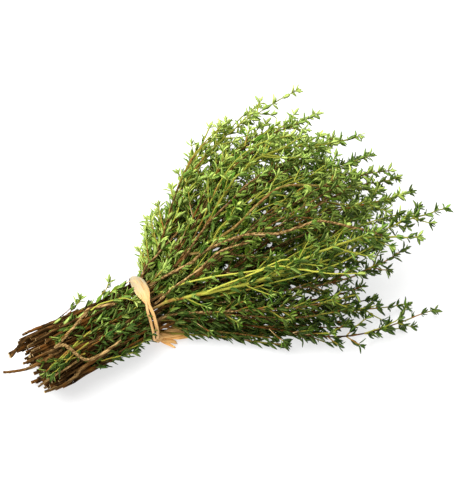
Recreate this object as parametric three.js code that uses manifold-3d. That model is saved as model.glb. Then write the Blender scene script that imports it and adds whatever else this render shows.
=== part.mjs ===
// A bunch of fresh thyme, tied once with a flat strip of raffia and lying on its side.
// Millimetres. +X runs from the cut ends to the leafy tips and +Z is up. The bunch lies on z = 0,
// and the origin is on that surface, straight below the tie.
//
// Each sprig is one solid: a square stem that tapers, side shoots in opposite pairs, and leaves
// sunk into them. The raffia is one solid: the band, its knot and its two tails.
import * as THREE from "three";
import Module from "manifold-3d";

// The bunch as a whole
const SPRIGS = 40;
const NECK_HALF_WIDTH = 15.6; // of the outermost stems' centres at the tie
const NECK_HALF_HEIGHT = 13.8;
const NECK_HEIGHT = 16; // of the neck's middle above the surface
const FAN_HALF_WIDTH = 88; // of the outermost stems far past the tie
const FAN_START = 5; // how far past the tie the stems begin to part
const FAN_LENGTH = 56; // how far past that the fan has opened by two thirds
const FAN_CURVE = 1.5; // over 1, so the stems leave the tie almost parallel
const FAN_TOP = 70; // height of the upper stems where the fan is highest
const FAN_FLOOR = 2.1; // height of the lowest stems in the fan
const FAN_SETTLED = 72; // distance past the tie where the lowest stems lie on the surface
const CUT_SPLAY = 0.6; // how much wider the cut ends stand than the tie
const CUT_SAG = 0.8; // how much lower the cut ends lie than the tie
const CUT_DRIFT = 2.4; // how far the cut ends lie to the far side of the tie
const CUT_DISTANCE = 57; // of the shortest cut end from the tie
const CUT_SPREAD = 9; // between the shortest and the longest ordinary cut end
const TIP_DISTANCE = 157; // of the middle tips from the tie
const EDGE_TIP_DISTANCE = 100; // of the outermost tips
const TIP_SPREAD = 0.2; // share by which the tips differ at random
const TIP_ROUNDING = 2.2; // a larger number keeps more of the fan's front at full length
const TIP_CURL_SIDE = 10; // range of how far a tip bends sideways at random
const TIP_CURL_DOWN = 9; // how far a tip at the top bends down, at most
const BEND_START = 0.62; // share of a stem's length where the bend of its tip begins
const FAN_TOP_DROP = 0.1; // share by which the fan's top sinks towards the tips
const DROP_START = 90; // distance past the tie where it begins to sink
const DROP_LENGTH = 60;
const HEAP_ROUNDING = 0.8; // 1 brings the fan's sides down to the surface
const HEAP_START = -30; // place along X where the oval begins to turn into a heap
const HEAP_LENGTH = 130;
const LEAST_CHORD = 0.14; // of the oval, so the outermost stems don't divide by nothing
const SWAY_CUT = 0.3; // how far a stem wavers before the tie
const SWAY_FAN = 2.4; // and in the open fan
const SWAY_GROWTH = 60; // distance past the tie where it wavers in full
const SWAY_SIDE = 13; // least stretch of the waver along the stem, sideways
const SWAY_UP = 11; // and up and down
const SWAY_STRETCH = 8; // range of that stretch
const SWAY_UP_SHARE = 0.6; // how far a stem wavers up and down, as a share of sideways

// Stems, side shoots and leaves
const STEM_RADIUS_CUT = 1.05;
const STEM_RADIUS_TIE = 0.85;
const STEM_RADIUS_TIP = 0.42;
const STEM_STATIONS = [-32, -8, 9, 25, 45, 72, 104]; // places along X where a stem bends
const SHOOT_PAIRS = 4;
const SHOOT_FIRST = 0.31; // share of the way from the tie to the tip where the lowest pair stands
const SHOOT_PITCH = 0.15;
const SHOOT_LENGTH = 27;
const SHOOT_SHRINK = 0.12; // share by which each pair is shorter than the pair below
const SHOOT_RADIUS = 0.4;
const SHOOT_ANGLE = 0.62; // radians between the stem and a side shoot
const SHOOT_RISE = 1.25; // over 1, so a side shoot curves in towards its stem
const SHOOT_NUDGE = 0.6; // range of its place along the stem, as a share of the pitch
const SHOOT_TWIST = 0.5; // range of its angle round the stem
const SHOOT_TAPER = [0.95, 1, 0.95, 0.8];
const SHOOT_STEPS = SHOOT_TAPER.length - 1;
const LEAST_VIGOUR = 0.6; // share of its length that the weakest side shoot has
const OUTWARD = 0.3; // a side shoot that leads further out of the bunch than this is short
const OUTWARD_REACH = 0.6; // share of its length that it keeps
const SHOOTS_KEPT = 2; // side shoots on one sprig, at most
const LEAF_LENGTH = 6;
const LEAF_WIDTH = 2.3;
const LEAF_THICKNESS = 0.75;
const LEAF_WIDEST = 0.52; // share of the way from its root to its tip
const LEAF_FULLNESS = 0.15; // over 0, so a short leaf is wider than its length asks
const LEAF_ANGLE = 0.85; // radians between the stem and a leaf
const LEAST_LEAF = 0.8; // shortest leaf of a pair, as a share of the length
const LEAF_RANGE = 0.3;
const PAIR_TWIST = 0.3; // range of a leaf's angle round the stem
const WHORL_PITCH = 12.6; // between the leaf pairs along a stem
const WHORLS = [1, 3, 6, 9, 2, 5, 8]; // numbered from the tip, in the order they are placed
const LEAVES_KEPT = 16; // on one sprig, at most
const LOW_WHORLS = [-46, -32, -19]; // leaf pairs on the outer sprigs before the tie, along X
const LOW_REACH = 0.8; // how far out a sprig stands to have them
const TUFT_STEP = 1.45; // between the leaves of a tuft at the end of a stem
const TUFT_BACK = 0.4; // of the first one from the very end
const TUFT_ANGLE = 0.35; // radians between the stem and the first one
const TUFT_OPENING = 0.15; // by which each one leans out further
const TUFT_LEAF = 0.85; // length of its leaves, as a share
const CLEARANCE = 0.35; // between two sprigs
const REST_GAP = 0.28; // between a stem's lowest side and the surface, at least
const SHORTEST_EDGE = 0.01; // detail below this size is left out where pieces join

// The raffia
const BAND_GAP = 1.6; // between the outermost stems' centres and the band's inside
const BAND_THICKNESS = 0.8;
const BAND_WIDE = 8.5; // over the top of the bunch
const BAND_NARROW = 3.4; // on the side where the strip is gathered
const BAND_LEAN = 2; // how far the band's middle leans towards the tips, twice that on top
const BAND_STEPS = 24;
const BAND_ROOM = 1.4; // kept clear round the strip
const LONG_TAIL_ROOM = 3.2;
const SHORT_TAIL_ROOM = 1.8;
const KNOT_CENTRE = new THREE.Vector3(0.5, -11.6, 3.3);
const KNOT_RADII = new THREE.Vector3(3.6, 3, 2.7);
const TAIL_THICKNESS = 0.7;

// Channels of the random draws
const CHANNEL = {
  tip: 1, cut: 2, curlY: 3, curlZ: 4, swaySide: 5, swayUp: 7, nudge: 10, twist: 20, vigour: 30,
  tuft: 50, shootTuft: 60, shootPair: 70, pair: 80, lowPair: 20,
};

const GOLDEN_ANGLE = Math.PI * (3 - Math.sqrt(5));
const UP = new THREE.Vector3(0, 0, 1);

const wasm = await Module();
wasm.setup();

// A random share from 0 to 1 that always comes out the same for the same sprig and channel.
function draw(sprig, channel) {
  const wave = Math.sin(sprig * 12.9898 + channel * 78.233) * 43758.5453;
  return wave - Math.floor(wave);
}

function smooth(t) {
  const s = Math.min(1, Math.max(0, t));
  return s * s * (3 - 2 * s);
}

function mix(a, b, t) {
  return a + (b - a) * t;
}

// How sprigs that reach out of the bunch differ from the rule, by their number. tip and cut are
// distances from the tie, and curlY and curlZ say how far the tip bends out of its line.
const STRAYS = {
  4: { tip: 156 },
  7: { tip: 150 },
  9: { tip: 140 },
  14: { tip: 140 },
  15: { tip: 154 },
  16: { cut: 72 },
  19: { tip: 143 },
  20: { curlZ: 6 },
  21: { curlZ: -8 },
  22: { tip: 158, curlY: 2, curlZ: -4 },
  24: { tip: 140, curlY: 4, curlZ: -5 },
  25: { tip: 118, curlY: -8, curlZ: -12 },
  27: { tip: 147, curlY: 2, curlZ: -11 },
  29: { tip: 115, curlY: -8, curlZ: 9, cut: 66 },
  30: { tip: 88, curlY: 0, curlZ: -6 },
  32: { tip: 148, curlY: -4, curlZ: -12 },
  33: { tip: 104, curlY: -3, curlZ: 0 },
  34: { tip: 97, curlY: 5, curlZ: 13 },
  35: { tip: 129, curlY: -6, curlZ: -10 },
  37: { tip: 138, curlY: -6, curlZ: 2 },
  38: { tip: 127, curlY: -2, curlZ: -6 },
};

// Where a sprig lies in the bunch. Sprigs fill the neck as seeds fill a sunflower.
function planOf(number) {
  const reach = Math.sqrt((number + 0.5) / SPRIGS);
  const turn = number * GOLDEN_ANGLE;
  const side = reach * Math.cos(turn);
  const height = reach * Math.sin(turn);
  const spread = 1 - TIP_SPREAD * draw(number, CHANNEL.tip);
  const tip = mix(TIP_DISTANCE, EDGE_TIP_DISTANCE, Math.abs(side) ** TIP_ROUNDING) * spread;
  return {
    number,
    side,
    height,
    tip,
    cut: CUT_DISTANCE + CUT_SPREAD * draw(number, CHANNEL.cut),
    curlY: TIP_CURL_SIDE * (draw(number, CHANNEL.curlY) - 0.5),
    curlZ: -TIP_CURL_DOWN * draw(number, CHANNEL.curlZ) * (0.5 + 0.5 * height),
    ...(STRAYS[number] ?? {}),
  };
}

// Half the bunch's width at a distance past the tie, or before it where x is below 0.
function halfWidth(x) {
  if (x < 0) return NECK_HALF_WIDTH + CUT_SPLAY * (x / CUT_DISTANCE) ** 2;
  const opened = 1 - Math.exp(-((Math.max(0, x - FAN_START) / FAN_LENGTH) ** FAN_CURVE));
  return mix(NECK_HALF_WIDTH, FAN_HALF_WIDTH, opened);
}

// Height of a place across the bunch: an oval at the tie, and past it a heap with a flat bottom.
function heightAt(x, side, height) {
  const oval = NECK_HEIGHT + NECK_HALF_HEIGHT * height;
  if (x < 0) return oval + CUT_SAG * (x / CUT_DISTANCE);
  const chord = Math.max(LEAST_CHORD, Math.sqrt(1 - side * side));
  const share = Math.min(1, Math.max(0, (height + chord) / (2 * chord)));
  const sunk = 1 - FAN_TOP_DROP * smooth((x - DROP_START) / DROP_LENGTH);
  const top = FAN_TOP * Math.sqrt(1 - HEAP_ROUNDING * side * side) * sunk;
  const heap = mix(FAN_FLOOR, top, share);
  return mix(oval, heap, smooth(x / FAN_SETTLED) * smooth((x - HEAP_START) / HEAP_LENGTH));
}

// A point of a sprig's stem at a distance past the tie.
function stemPoint(plan, x) {
  const { number, side, height, cut, tip } = plan;
  const sway = mix(SWAY_CUT, SWAY_FAN, smooth(x / SWAY_GROWTH));
  const bend = Math.max(0, ((x + cut) / (tip + cut) - BEND_START) / (1 - BEND_START)) ** 2;
  const wave = (channel, least) => {
    const stretch = least + SWAY_STRETCH * draw(number, channel);
    return Math.sin(x / stretch + 2 * Math.PI * draw(number, channel + 1));
  };
  const drift = CUT_DRIFT * Math.min(0, x / CUT_DISTANCE) ** 2;
  const y = halfWidth(x) * side + drift + plan.curlY * bend + sway * wave(CHANNEL.swaySide, SWAY_SIDE);
  const rise = SWAY_UP_SHARE * sway * wave(CHANNEL.swayUp, SWAY_UP);
  const z = heightAt(x, side, height) + plan.curlZ * bend + rise;
  return new THREE.Vector3(x, y, Math.max(z, stemRadius(plan, x) + REST_GAP));
}

function stemRadius({ cut, tip }, x) {
  if (x < 0) return mix(STEM_RADIUS_TIE, STEM_RADIUS_CUT, -x / cut);
  return mix(STEM_RADIUS_TIE, STEM_RADIUS_TIP, x / tip);
}

// The corners of a sprig's stem, with the radius at each.
function stemLine(plan) {
  const stations = STEM_STATIONS.filter((x) => x < plan.tip - 9);
  const places = [-plan.cut, ...stations, plan.tip];
  return places.map((x) => ({ point: stemPoint(plan, x), radius: stemRadius(plan, x) }));
}

// The point and the direction of a stem line at a distance past the tie.
function placeOn(line, x) {
  const last = line.length - 2;
  const found = line.findIndex((_, k) => k > last || line[k + 1].point.x >= x);
  const from = line[Math.min(found, last)].point;
  const to = line[Math.min(found, last) + 1].point;
  const point = from.clone().lerp(to, (x - from.x) / (to.x - from.x));
  return { point, tangent: to.clone().sub(from).normalize() };
}

// The two directions square to a stem, turned round it by an angle.
function across(tangent, angle) {
  const level = new THREE.Vector3().crossVectors(UP, tangent).normalize();
  const rise = new THREE.Vector3().crossVectors(tangent, level);
  return level.multiplyScalar(Math.cos(angle)).addScaledVector(rise, Math.sin(angle));
}

// The angle of a side shoot round its stem. Its pair stands opposite, the next pair a quarter turn on.
function shootTurn(plan, pair, opposite) {
  return 0.5 * Math.PI * pair + Math.PI * opposite + SHOOT_TWIST * draw(plan.number, CHANNEL.twist + pair);
}

// How far a side shoot leads out of the bunch: 1 straight out, and 0 along its skin or at its middle.
function outwardness(plan, turn) {
  return plan.side * Math.cos(turn) + plan.height * Math.sin(turn);
}

// The centre line of one side shoot.
function shootLine(plan, line, pair, opposite) {
  const nudge = SHOOT_NUDGE * (draw(plan.number, CHANNEL.nudge + pair) - 0.5);
  const { point, tangent } = placeOn(line, plan.tip * (SHOOT_FIRST + SHOOT_PITCH * (pair + nudge)));
  const turn = shootTurn(plan, pair, opposite);
  const away = across(tangent, turn);
  const vigour = mix(LEAST_VIGOUR, 1, draw(plan.number, CHANNEL.vigour + 2 * pair + opposite));
  const share = outwardness(plan, turn) > OUTWARD ? OUTWARD_REACH : 1;
  const reach = SHOOT_LENGTH * (1 - SHOOT_SHRINK * pair) * vigour * share;
  return Array.from({ length: SHOOT_STEPS + 1 }, (_, step) => {
    const t = step / SHOOT_STEPS;
    const corner = point.clone()
      .addScaledVector(tangent, reach * Math.cos(SHOOT_ANGLE) * t)
      .addScaledVector(away, reach * Math.sin(SHOOT_ANGLE) * mix(t * t, t, SHOOT_RISE));
    return corner.setZ(Math.max(corner.z, SHOOT_RADIUS + REST_GAP));
  });
}

// A closed solid from points and triangles, turned the right way out.
function solidOf(points, triangles) {
  const vertProperties = new Float32Array(points.flatMap((p) => p.toArray()));
  const made = new wasm.Manifold(
    new wasm.Mesh({ numProp: 3, vertProperties, triVerts: new Uint32Array(triangles.flat()) }),
  );
  return made.volume() > 0 ? made : solidOf(points, triangles.map(([a, b, c]) => [a, c, b]));
}

// A skin over rings of points. It is capped at both ends, or joined end to end where it is a loop.
function loft(rings, loop = false) {
  const count = rings[0].length;
  const triangles = [];
  for (let ring = 0; ring < rings.length - (loop ? 0 : 1); ring += 1) {
    const here = ring * count;
    const next = ((ring + 1) % rings.length) * count;
    for (let k = 0; k < count; k += 1) {
      const other = (k + 1) % count;
      triangles.push([here + k, here + other, next + k], [here + other, next + other, next + k]);
    }
  }
  const last = (rings.length - 1) * count;
  for (let k = 1; !loop && k < count - 1; k += 1) {
    triangles.push([0, k + 1, k], [last, last + k, last + k + 1]);
  }
  return solidOf(rings.flat(), triangles);
}

// A tapered tube with a few flat sides, kept above the surface.
function tube(points, radii, sides) {
  const rings = points.map((centre, step) => {
    const ahead = points[Math.min(points.length - 1, step + 1)];
    const tangent = ahead.clone().sub(points[Math.max(0, step - 1)]).normalize();
    return Array.from({ length: sides }, (_, k) => {
      const out = across(tangent, (2 * Math.PI * (k + 0.5)) / sides);
      const corner = centre.clone().addScaledVector(out, radii[step]);
      corner.z = Math.max(0, corner.z);
      return corner;
    });
  });
  return loft(rings);
}

// A keeled blade: a kite with a ridge along its top.
function leafSolid(leaf) {
  const facing = new THREE.Vector3().crossVectors(leaf.toward, leaf.edge).normalize();
  const middle = leaf.root.clone().addScaledVector(leaf.toward, LEAF_WIDEST * leaf.length);
  const left = middle.clone().addScaledVector(leaf.edge, -0.5 * leaf.width);
  const right = middle.clone().addScaledVector(leaf.edge, 0.5 * leaf.width);
  const ridge = middle.clone().addScaledVector(facing, LEAF_THICKNESS);
  const points = [leaf.root, left, right, ridge, leaf.tip];
  points.slice(1).forEach((point) => {
    point.z = Math.max(point === ridge ? LEAF_THICKNESS : 0, point.z);
  });
  return solidOf(points, [[0, 3, 1], [1, 3, 4], [0, 2, 3], [2, 4, 3], [0, 1, 2], [1, 4, 2]]);
}

// One leaf of a pair, leaning out from its stem, and lifted where it would meet the surface.
function leafAt(root, tangent, turn, angle, length) {
  const away = across(tangent, turn);
  const toward = tangent.clone().multiplyScalar(Math.cos(angle)).addScaledVector(away, Math.sin(angle));
  if (root.z + toward.z * length < REST_GAP) toward.z = (REST_GAP - root.z) / length;
  toward.normalize();
  const edge = new THREE.Vector3().crossVectors(away, tangent).normalize();
  const tip = root.clone().addScaledVector(toward, length);
  const width = LEAF_WIDTH * Math.min(1, length / LEAF_LENGTH + LEAF_FULLNESS);
  return { root, toward, edge, tip, length, width };
}

// The least distance between two straight lines, each from a to b.
function lineGap(one, two) {
  const along = one.b.clone().sub(one.a);
  const beside = two.b.clone().sub(two.a);
  const between = one.a.clone().sub(two.a);
  const aa = along.dot(along);
  const bb = beside.dot(beside);
  const ab = along.dot(beside);
  const ac = along.dot(between);
  const bc = beside.dot(between);
  const lean = aa * bb - ab * ab;
  let s = lean > 1e-9 ? THREE.MathUtils.clamp((ab * bc - ac * bb) / lean, 0, 1) : 0;
  const t = THREE.MathUtils.clamp((ab * s + bc) / bb, 0, 1);
  s = THREE.MathUtils.clamp((ab * t - ac) / aa, 0, 1);
  const here = one.a.clone().addScaledVector(along, s);
  return here.distanceTo(two.a.clone().addScaledVector(beside, t));
}

// Every placed piece as a thick line, so that the next one can be kept clear of other sprigs.
const placed = [];

function isClear(lines) {
  return lines.every((line) => placed.every((other) => (
    other.owner === line.owner || lineGap(line, other) > line.radius + other.radius + CLEARANCE
  )));
}

function linesAlong(points, radius, owner) {
  return points.slice(1).map((b, k) => ({ a: points[k], b, radius, owner }));
}

// The angle of a corner of the raffia's loop. It is 0 on the far side and grows over the top, and
// two corners stand side by side at the bottom, so the band has a flat there to rest on.
function bandAngle(step) {
  return (2 * Math.PI * (step + 0.5)) / BAND_STEPS;
}

// A place on the loop, further out than its inside by a distance.
function bandPoint(angle, out) {
  const y = (NECK_HALF_WIDTH + BAND_GAP + out) * Math.cos(angle);
  const z = NECK_HEIGHT + (NECK_HALF_HEIGHT + BAND_GAP + out) * Math.sin(angle);
  return new THREE.Vector3(BAND_LEAN * (1 + Math.sin(angle)), y, Math.max(0, z));
}

function bandWidth(angle) {
  return mix(BAND_NARROW, BAND_WIDE, Math.max(0, Math.sin(angle + 0.35)) ** 1.5);
}

// The band: a flat strip round the neck that leans a little, wide on top and gathered at the side.
function bandSolid() {
  return loft(Array.from({ length: BAND_STEPS }, (_, step) => {
    const angle = bandAngle(step);
    const half = new THREE.Vector3(0.5 * bandWidth(angle), 0, 0);
    const inner = bandPoint(angle, 0);
    const outer = bandPoint(angle, BAND_THICKNESS);
    return [
      inner.clone().sub(half), inner.clone().add(half), outer.clone().add(half), outer.clone().sub(half),
    ];
  }), true);
}

// A flat strip along a line of points, its width across the line and level.
function stripSolid(points, widths) {
  return loft(points.map((centre, step) => {
    const ahead = points[Math.min(points.length - 1, step + 1)];
    const tangent = ahead.clone().sub(points[Math.max(0, step - 1)]).normalize();
    const level = new THREE.Vector3().crossVectors(UP, tangent).normalize();
    const rise = new THREE.Vector3().crossVectors(tangent, level).multiplyScalar(0.5 * TAIL_THICKNESS);
    const half = level.multiplyScalar(0.5 * widths[step]);
    return [
      centre.clone().sub(half).sub(rise), centre.clone().add(half).sub(rise),
      centre.clone().add(half).add(rise), centre.clone().sub(half).add(rise),
    ].map((corner) => corner.setZ(Math.max(0, corner.z)));
  }));
}

const LONG_TAIL = [
  [0, -11, 3.2], [4.5, -15.5, 3], [9.5, -18, 2.6], [14.5, -19.5, 1.2],
].map((p) => new THREE.Vector3(...p));
const SHORT_TAIL = [[0, -11, 3], [1.2, -16, 2.2], [2.6, -20.5, 0.9]].map((p) => new THREE.Vector3(...p));

function knotSolid() {
  const ball = new THREE.IcosahedronGeometry(1, 0).scale(...KNOT_RADII.toArray());
  const corner = new THREE.Vector3();
  const points = [];
  const numbers = new Map();
  const order = [];
  for (let k = 0; k < ball.attributes.position.count; k += 1) {
    corner.fromBufferAttribute(ball.attributes.position, k).add(KNOT_CENTRE);
    const key = corner.toArray().map((v) => v.toFixed(4)).join();
    if (!numbers.has(key)) numbers.set(key, points.push(corner.clone().setZ(Math.max(0, corner.z))) - 1);
    order.push(numbers.get(key));
  }
  return solidOf(points, Array.from({ length: order.length / 3 }, (_, k) => order.slice(3 * k, 3 * k + 3)));
}

function raffiaSolid() {
  return wasm.Manifold.union([
    bandSolid(), knotSolid(),
    stripSolid(LONG_TAIL, [2.6, 5, 6, 5.2]), stripSolid(SHORT_TAIL, [2, 2.6, 2.2]),
  ]);
}

// The raffia takes its room before any side shoot or leaf is placed.
function claimRaffia() {
  const owner = "raffia";
  for (let step = 0; step < BAND_STEPS; step += 1) {
    const a = bandPoint(bandAngle(step), 0.5 * BAND_THICKNESS);
    const b = bandPoint(bandAngle(step + 1), 0.5 * BAND_THICKNESS);
    for (const edge of [-0.4 * BAND_WIDE, 0, 0.4 * BAND_WIDE]) {
      const beside = new THREE.Vector3(edge, 0, 0);
      placed.push({ a: a.clone().add(beside), b: b.clone().add(beside), radius: BAND_ROOM, owner });
    }
  }
  placed.push(...linesAlong(LONG_TAIL, LONG_TAIL_ROOM, owner));
  placed.push(...linesAlong(SHORT_TAIL, SHORT_TAIL_ROOM, owner));
}

// The sprigs: every stem first, then side shoots, then leaves, each kept clear of its neighbours.
const sprigs = Array.from({ length: SPRIGS }, (_, number) => {
  const plan = planOf(number);
  const line = stemLine(plan);
  const points = line.map((corner) => corner.point);
  const radii = line.map((corner) => corner.radius);
  points.slice(1).forEach((b, k) => placed.push({ a: points[k], b, radius: radii[k], owner: number }));
  return { plan, line, shoots: [], leaves: 0, solids: [tube(points, radii, 4)] };
});
claimRaffia();

// A sprig's possible side shoots, those that lead furthest out of the bunch first.
function shootChoices(plan) {
  const choices = Array.from({ length: 2 * SHOOT_PAIRS }, (_, k) => {
    const [pair, opposite] = [k >> 1, k % 2];
    return { pair, opposite, outward: outwardness(plan, shootTurn(plan, pair, opposite)) };
  });
  return choices.sort((one, two) => two.outward - one.outward);
}

for (let round = 0; round < 2 * SHOOT_PAIRS; round += 1) {
  for (const sprig of sprigs) {
    if (sprig.shoots.length === SHOOTS_KEPT) continue;
    const { pair, opposite } = shootChoices(sprig.plan)[round];
    const points = shootLine(sprig.plan, sprig.line, pair, opposite);
    const lines = linesAlong(points, SHOOT_RADIUS, sprig.plan.number);
    if (!isClear(lines)) continue;
    placed.push(...lines);
    sprig.shoots.push(points);
    sprig.solids.push(tube(points, SHOOT_TAPER.map((k) => k * SHOOT_RADIUS), 3));
  }
}

// Puts a leaf on a sprig if it has room there.
function addLeaf(sprig, leaf) {
  if (sprig.leaves === LEAVES_KEPT) return;
  const start = leaf.root.clone().lerp(leaf.tip, 0.2);
  const line = { a: start, b: leaf.tip, radius: 0.42 * leaf.width, owner: sprig.plan.number };
  if (!isClear([line])) return;
  placed.push(line);
  sprig.leaves += 1;
  sprig.solids.push(leafSolid(leaf));
}

// A tuft of leaves at the end of a stem or shoot, each rooted a little further back than the last.
function addTuft(sprig, end, tangent, count, channel) {
  for (let k = 0; k < count; k += 1) {
    const turn = (2 * Math.PI * k) / 3 + 2 * Math.PI * draw(sprig.plan.number, channel);
    const root = end.clone().addScaledVector(tangent, -TUFT_BACK - TUFT_STEP * k);
    addLeaf(sprig, leafAt(root, tangent, turn, TUFT_ANGLE + TUFT_OPENING * k, TUFT_LEAF * LEAF_LENGTH));
  }
}

// A pair of leaves, a quarter turn on from the pair before.
function addPair(sprig, root, tangent, whorl, channel) {
  for (const opposite of [0, 1]) {
    const twist = PAIR_TWIST * (draw(sprig.plan.number, channel) - 0.5);
    const turn = 0.5 * Math.PI * whorl + Math.PI * opposite + twist;
    const length = LEAF_LENGTH * (LEAST_LEAF + LEAF_RANGE * draw(sprig.plan.number, channel + 1));
    addLeaf(sprig, leafAt(root.clone(), tangent, turn, LEAF_ANGLE, length));
  }
}

function addPairOnStem(sprig, x, whorl) {
  const { point, tangent } = placeOn(sprig.line, x);
  addPair(sprig, point, tangent, whorl, CHANNEL.pair + 2 * whorl);
}

for (const sprig of sprigs) {
  const { plan, line, shoots } = sprig;
  const end = placeOn(line, plan.tip);
  addTuft(sprig, end.point, end.tangent, 3, CHANNEL.tuft);
  shoots.forEach((points, k) => {
    const [from, to] = points.slice(-2);
    const tangent = to.clone().sub(from).normalize();
    addTuft(sprig, to, tangent, 2, CHANNEL.shootTuft + k);
    addPair(sprig, from.clone().lerp(to, 0.15), tangent, k, CHANNEL.shootPair + k);
  });
  LOW_WHORLS.forEach((x, k) => {
    if (Math.hypot(plan.side, plan.height) > LOW_REACH) addPairOnStem(sprig, x, CHANNEL.lowPair + k);
  });
}
for (const whorl of WHORLS) {
  sprigs.forEach((sprig) => addPairOnStem(sprig, sprig.plan.tip - whorl * WHORL_PITCH, whorl));
}

// Joins a sprig's pieces into one body. A sealed hollow is filled and a scrap is dropped.
function joined(solids) {
  const bodies = wasm.Manifold.union(solids).simplify(SHORTEST_EDGE).decompose();
  return bodies.reduce((largest, body) => (body.volume() > largest.volume() ? body : largest));
}

function geometryOf(solid) {
  const mesh = solid.getMesh();
  return new THREE.BufferGeometry()
    .setAttribute("position", new THREE.BufferAttribute(new Float32Array(mesh.vertProperties), 3))
    .setIndex(new THREE.BufferAttribute(new Uint32Array(mesh.triVerts), 1));
}

const leafyGreen = new THREE.MeshStandardMaterial({ color: 0x4f7a2c, roughness: 0.62, metalness: 0 });
const raffiaTan = new THREE.MeshStandardMaterial({ color: 0xe2c48c, roughness: 0.7, metalness: 0 });

const bunch = new THREE.Group();
sprigs.forEach((sprig) => {
  const mesh = new THREE.Mesh(geometryOf(joined(sprig.solids)), leafyGreen);
  mesh.name = `sprig_${String(sprig.plan.number + 1).padStart(2, "0")}`;
  bunch.add(mesh);
});
const raffia = new THREE.Mesh(geometryOf(joined([raffiaSolid()])), raffiaTan);
raffia.name = "raffia_tie";
bunch.add(raffia);

export default bunch;
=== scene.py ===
"""A bunch of fresh thyme tied once with raffia, lying on its side on a pale floor.

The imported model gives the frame: forty sprigs and the raffia tie. Each is replaced by a finer piece
that grows from the same rule, so it stays where its solid is. One piece more holds the single stems
and twigs that stand out. The growth rule works in millimetres, and every mesh is made in metres.
+X runs from the cut ends to the leafy tips, +Z is up, and the origin is on the floor, straight below
the tie.
"""

import logging  # noqa: E402
import math  # noqa: E402
from dataclasses import dataclass, field  # noqa: E402
from enum import Enum  # noqa: E402

import bpy  # noqa: E402
import numpy as np  # noqa: E402
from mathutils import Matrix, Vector  # noqa: E402


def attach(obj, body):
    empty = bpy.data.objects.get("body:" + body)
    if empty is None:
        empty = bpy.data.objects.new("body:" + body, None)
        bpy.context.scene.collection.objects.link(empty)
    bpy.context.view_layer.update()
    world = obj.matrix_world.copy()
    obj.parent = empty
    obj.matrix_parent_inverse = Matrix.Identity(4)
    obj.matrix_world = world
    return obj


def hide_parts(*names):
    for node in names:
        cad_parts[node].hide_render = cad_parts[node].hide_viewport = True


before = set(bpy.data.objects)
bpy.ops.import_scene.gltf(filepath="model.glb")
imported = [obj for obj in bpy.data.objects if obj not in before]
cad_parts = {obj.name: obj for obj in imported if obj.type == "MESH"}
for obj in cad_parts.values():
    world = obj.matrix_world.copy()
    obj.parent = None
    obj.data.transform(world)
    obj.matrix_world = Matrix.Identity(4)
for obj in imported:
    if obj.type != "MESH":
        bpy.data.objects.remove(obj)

log = logging.getLogger("thyme_bunch")

MM = 0.001
GOLDEN_ANGLE = math.pi * (3 - math.sqrt(5))
QUARTER = math.pi / 2
FRESH, WOODY, FAIR, GIRTH, OLIVE = 90, 91, 92, 93, 95  # draw() channels for a sprig's own looks
SPRIG_SEED, OUTER_SEED = 7000, 900
UP = np.array([0.0, 0.0, 1.0])
Triple = tuple[float, float, float]
Colour = Triple


class Slot(Enum):
    """The record's material slots."""

    THYME = "thyme_green"
    RAFFIA = "raffia"


# ---- small helpers ----


def draw(number: float, channel: float) -> float:
    """A random share from 0 to 1 that always comes out the same for the same sprig and channel."""
    wave = math.sin(number * 12.9898 + channel * 78.233) * 43758.5453
    return wave - math.floor(wave)


def smooth(t: float) -> float:
    """An S-shaped step from 0 to 1."""
    s = min(1.0, max(0.0, t))
    return s * s * (3 - 2 * s)


def ramp(value: float, start: float, length: float) -> float:
    """An S-shaped step from 0 at a start to 1 a length further on."""
    return smooth((value - start) / length)


def mix(a: float, b: float, t: float) -> float:
    """The value a share t of the way from a to b."""
    return a + (b - a) * t


def unit(vector: np.ndarray) -> np.ndarray:
    """The vector at length 1."""
    return vector / max(1e-9, float(np.linalg.norm(vector)))


def across(tangent: np.ndarray, angle: float) -> np.ndarray:
    """The direction square to a stem, turned round it by an angle.

    Args:
        tangent: The stem's direction, of length 1.
        angle: Radians round the stem from the level direction.

    Returns:
        A vector of length 1.
    """
    level = unit(np.cross(UP, tangent))
    rise = np.cross(tangent, level)
    return level * math.cos(angle) + rise * math.sin(angle)


def in_scene(name: str, data: bpy.types.ID) -> bpy.types.Object:
    """A new object, linked to the scene.

    Args:
        name: Its name.
        data: Its mesh, light or camera.

    Returns:
        The object.
    """
    made = bpy.data.objects.new(name, data)
    bpy.context.scene.collection.objects.link(made)
    return made


def store(mesh: bpy.types.Mesh, label: str, values: np.ndarray) -> None:
    """Keeps one value or one vector for each point of a mesh.

    Args:
        mesh: The mesh.
        label: The name they are kept under.
        values: The values, or rows of three.
    """
    kind, prop = ("FLOAT_VECTOR", "vector") if values.ndim == 2 else ("FLOAT", "value")
    mesh.attributes.new(label, kind, "POINT").data.foreach_set(prop, values.astype(np.float32).ravel())


def shell(name: str, points: list[Triple], faces: list[tuple[int, ...]],
          **marks: np.ndarray) -> bpy.types.Mesh:
    """A smooth closed mesh.

    Args:
        name: Its name.
        points: Its points.
        faces: The numbers of each face's points.
        marks: Values to store at its points, by name.

    Returns:
        The mesh.
    """
    mesh = bpy.data.meshes.new(name)
    mesh.from_pydata(points, [], faces)
    for label, values in marks.items():
        store(mesh, label, values)
    mesh.shade_smooth()
    mesh.update()
    return mesh


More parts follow.
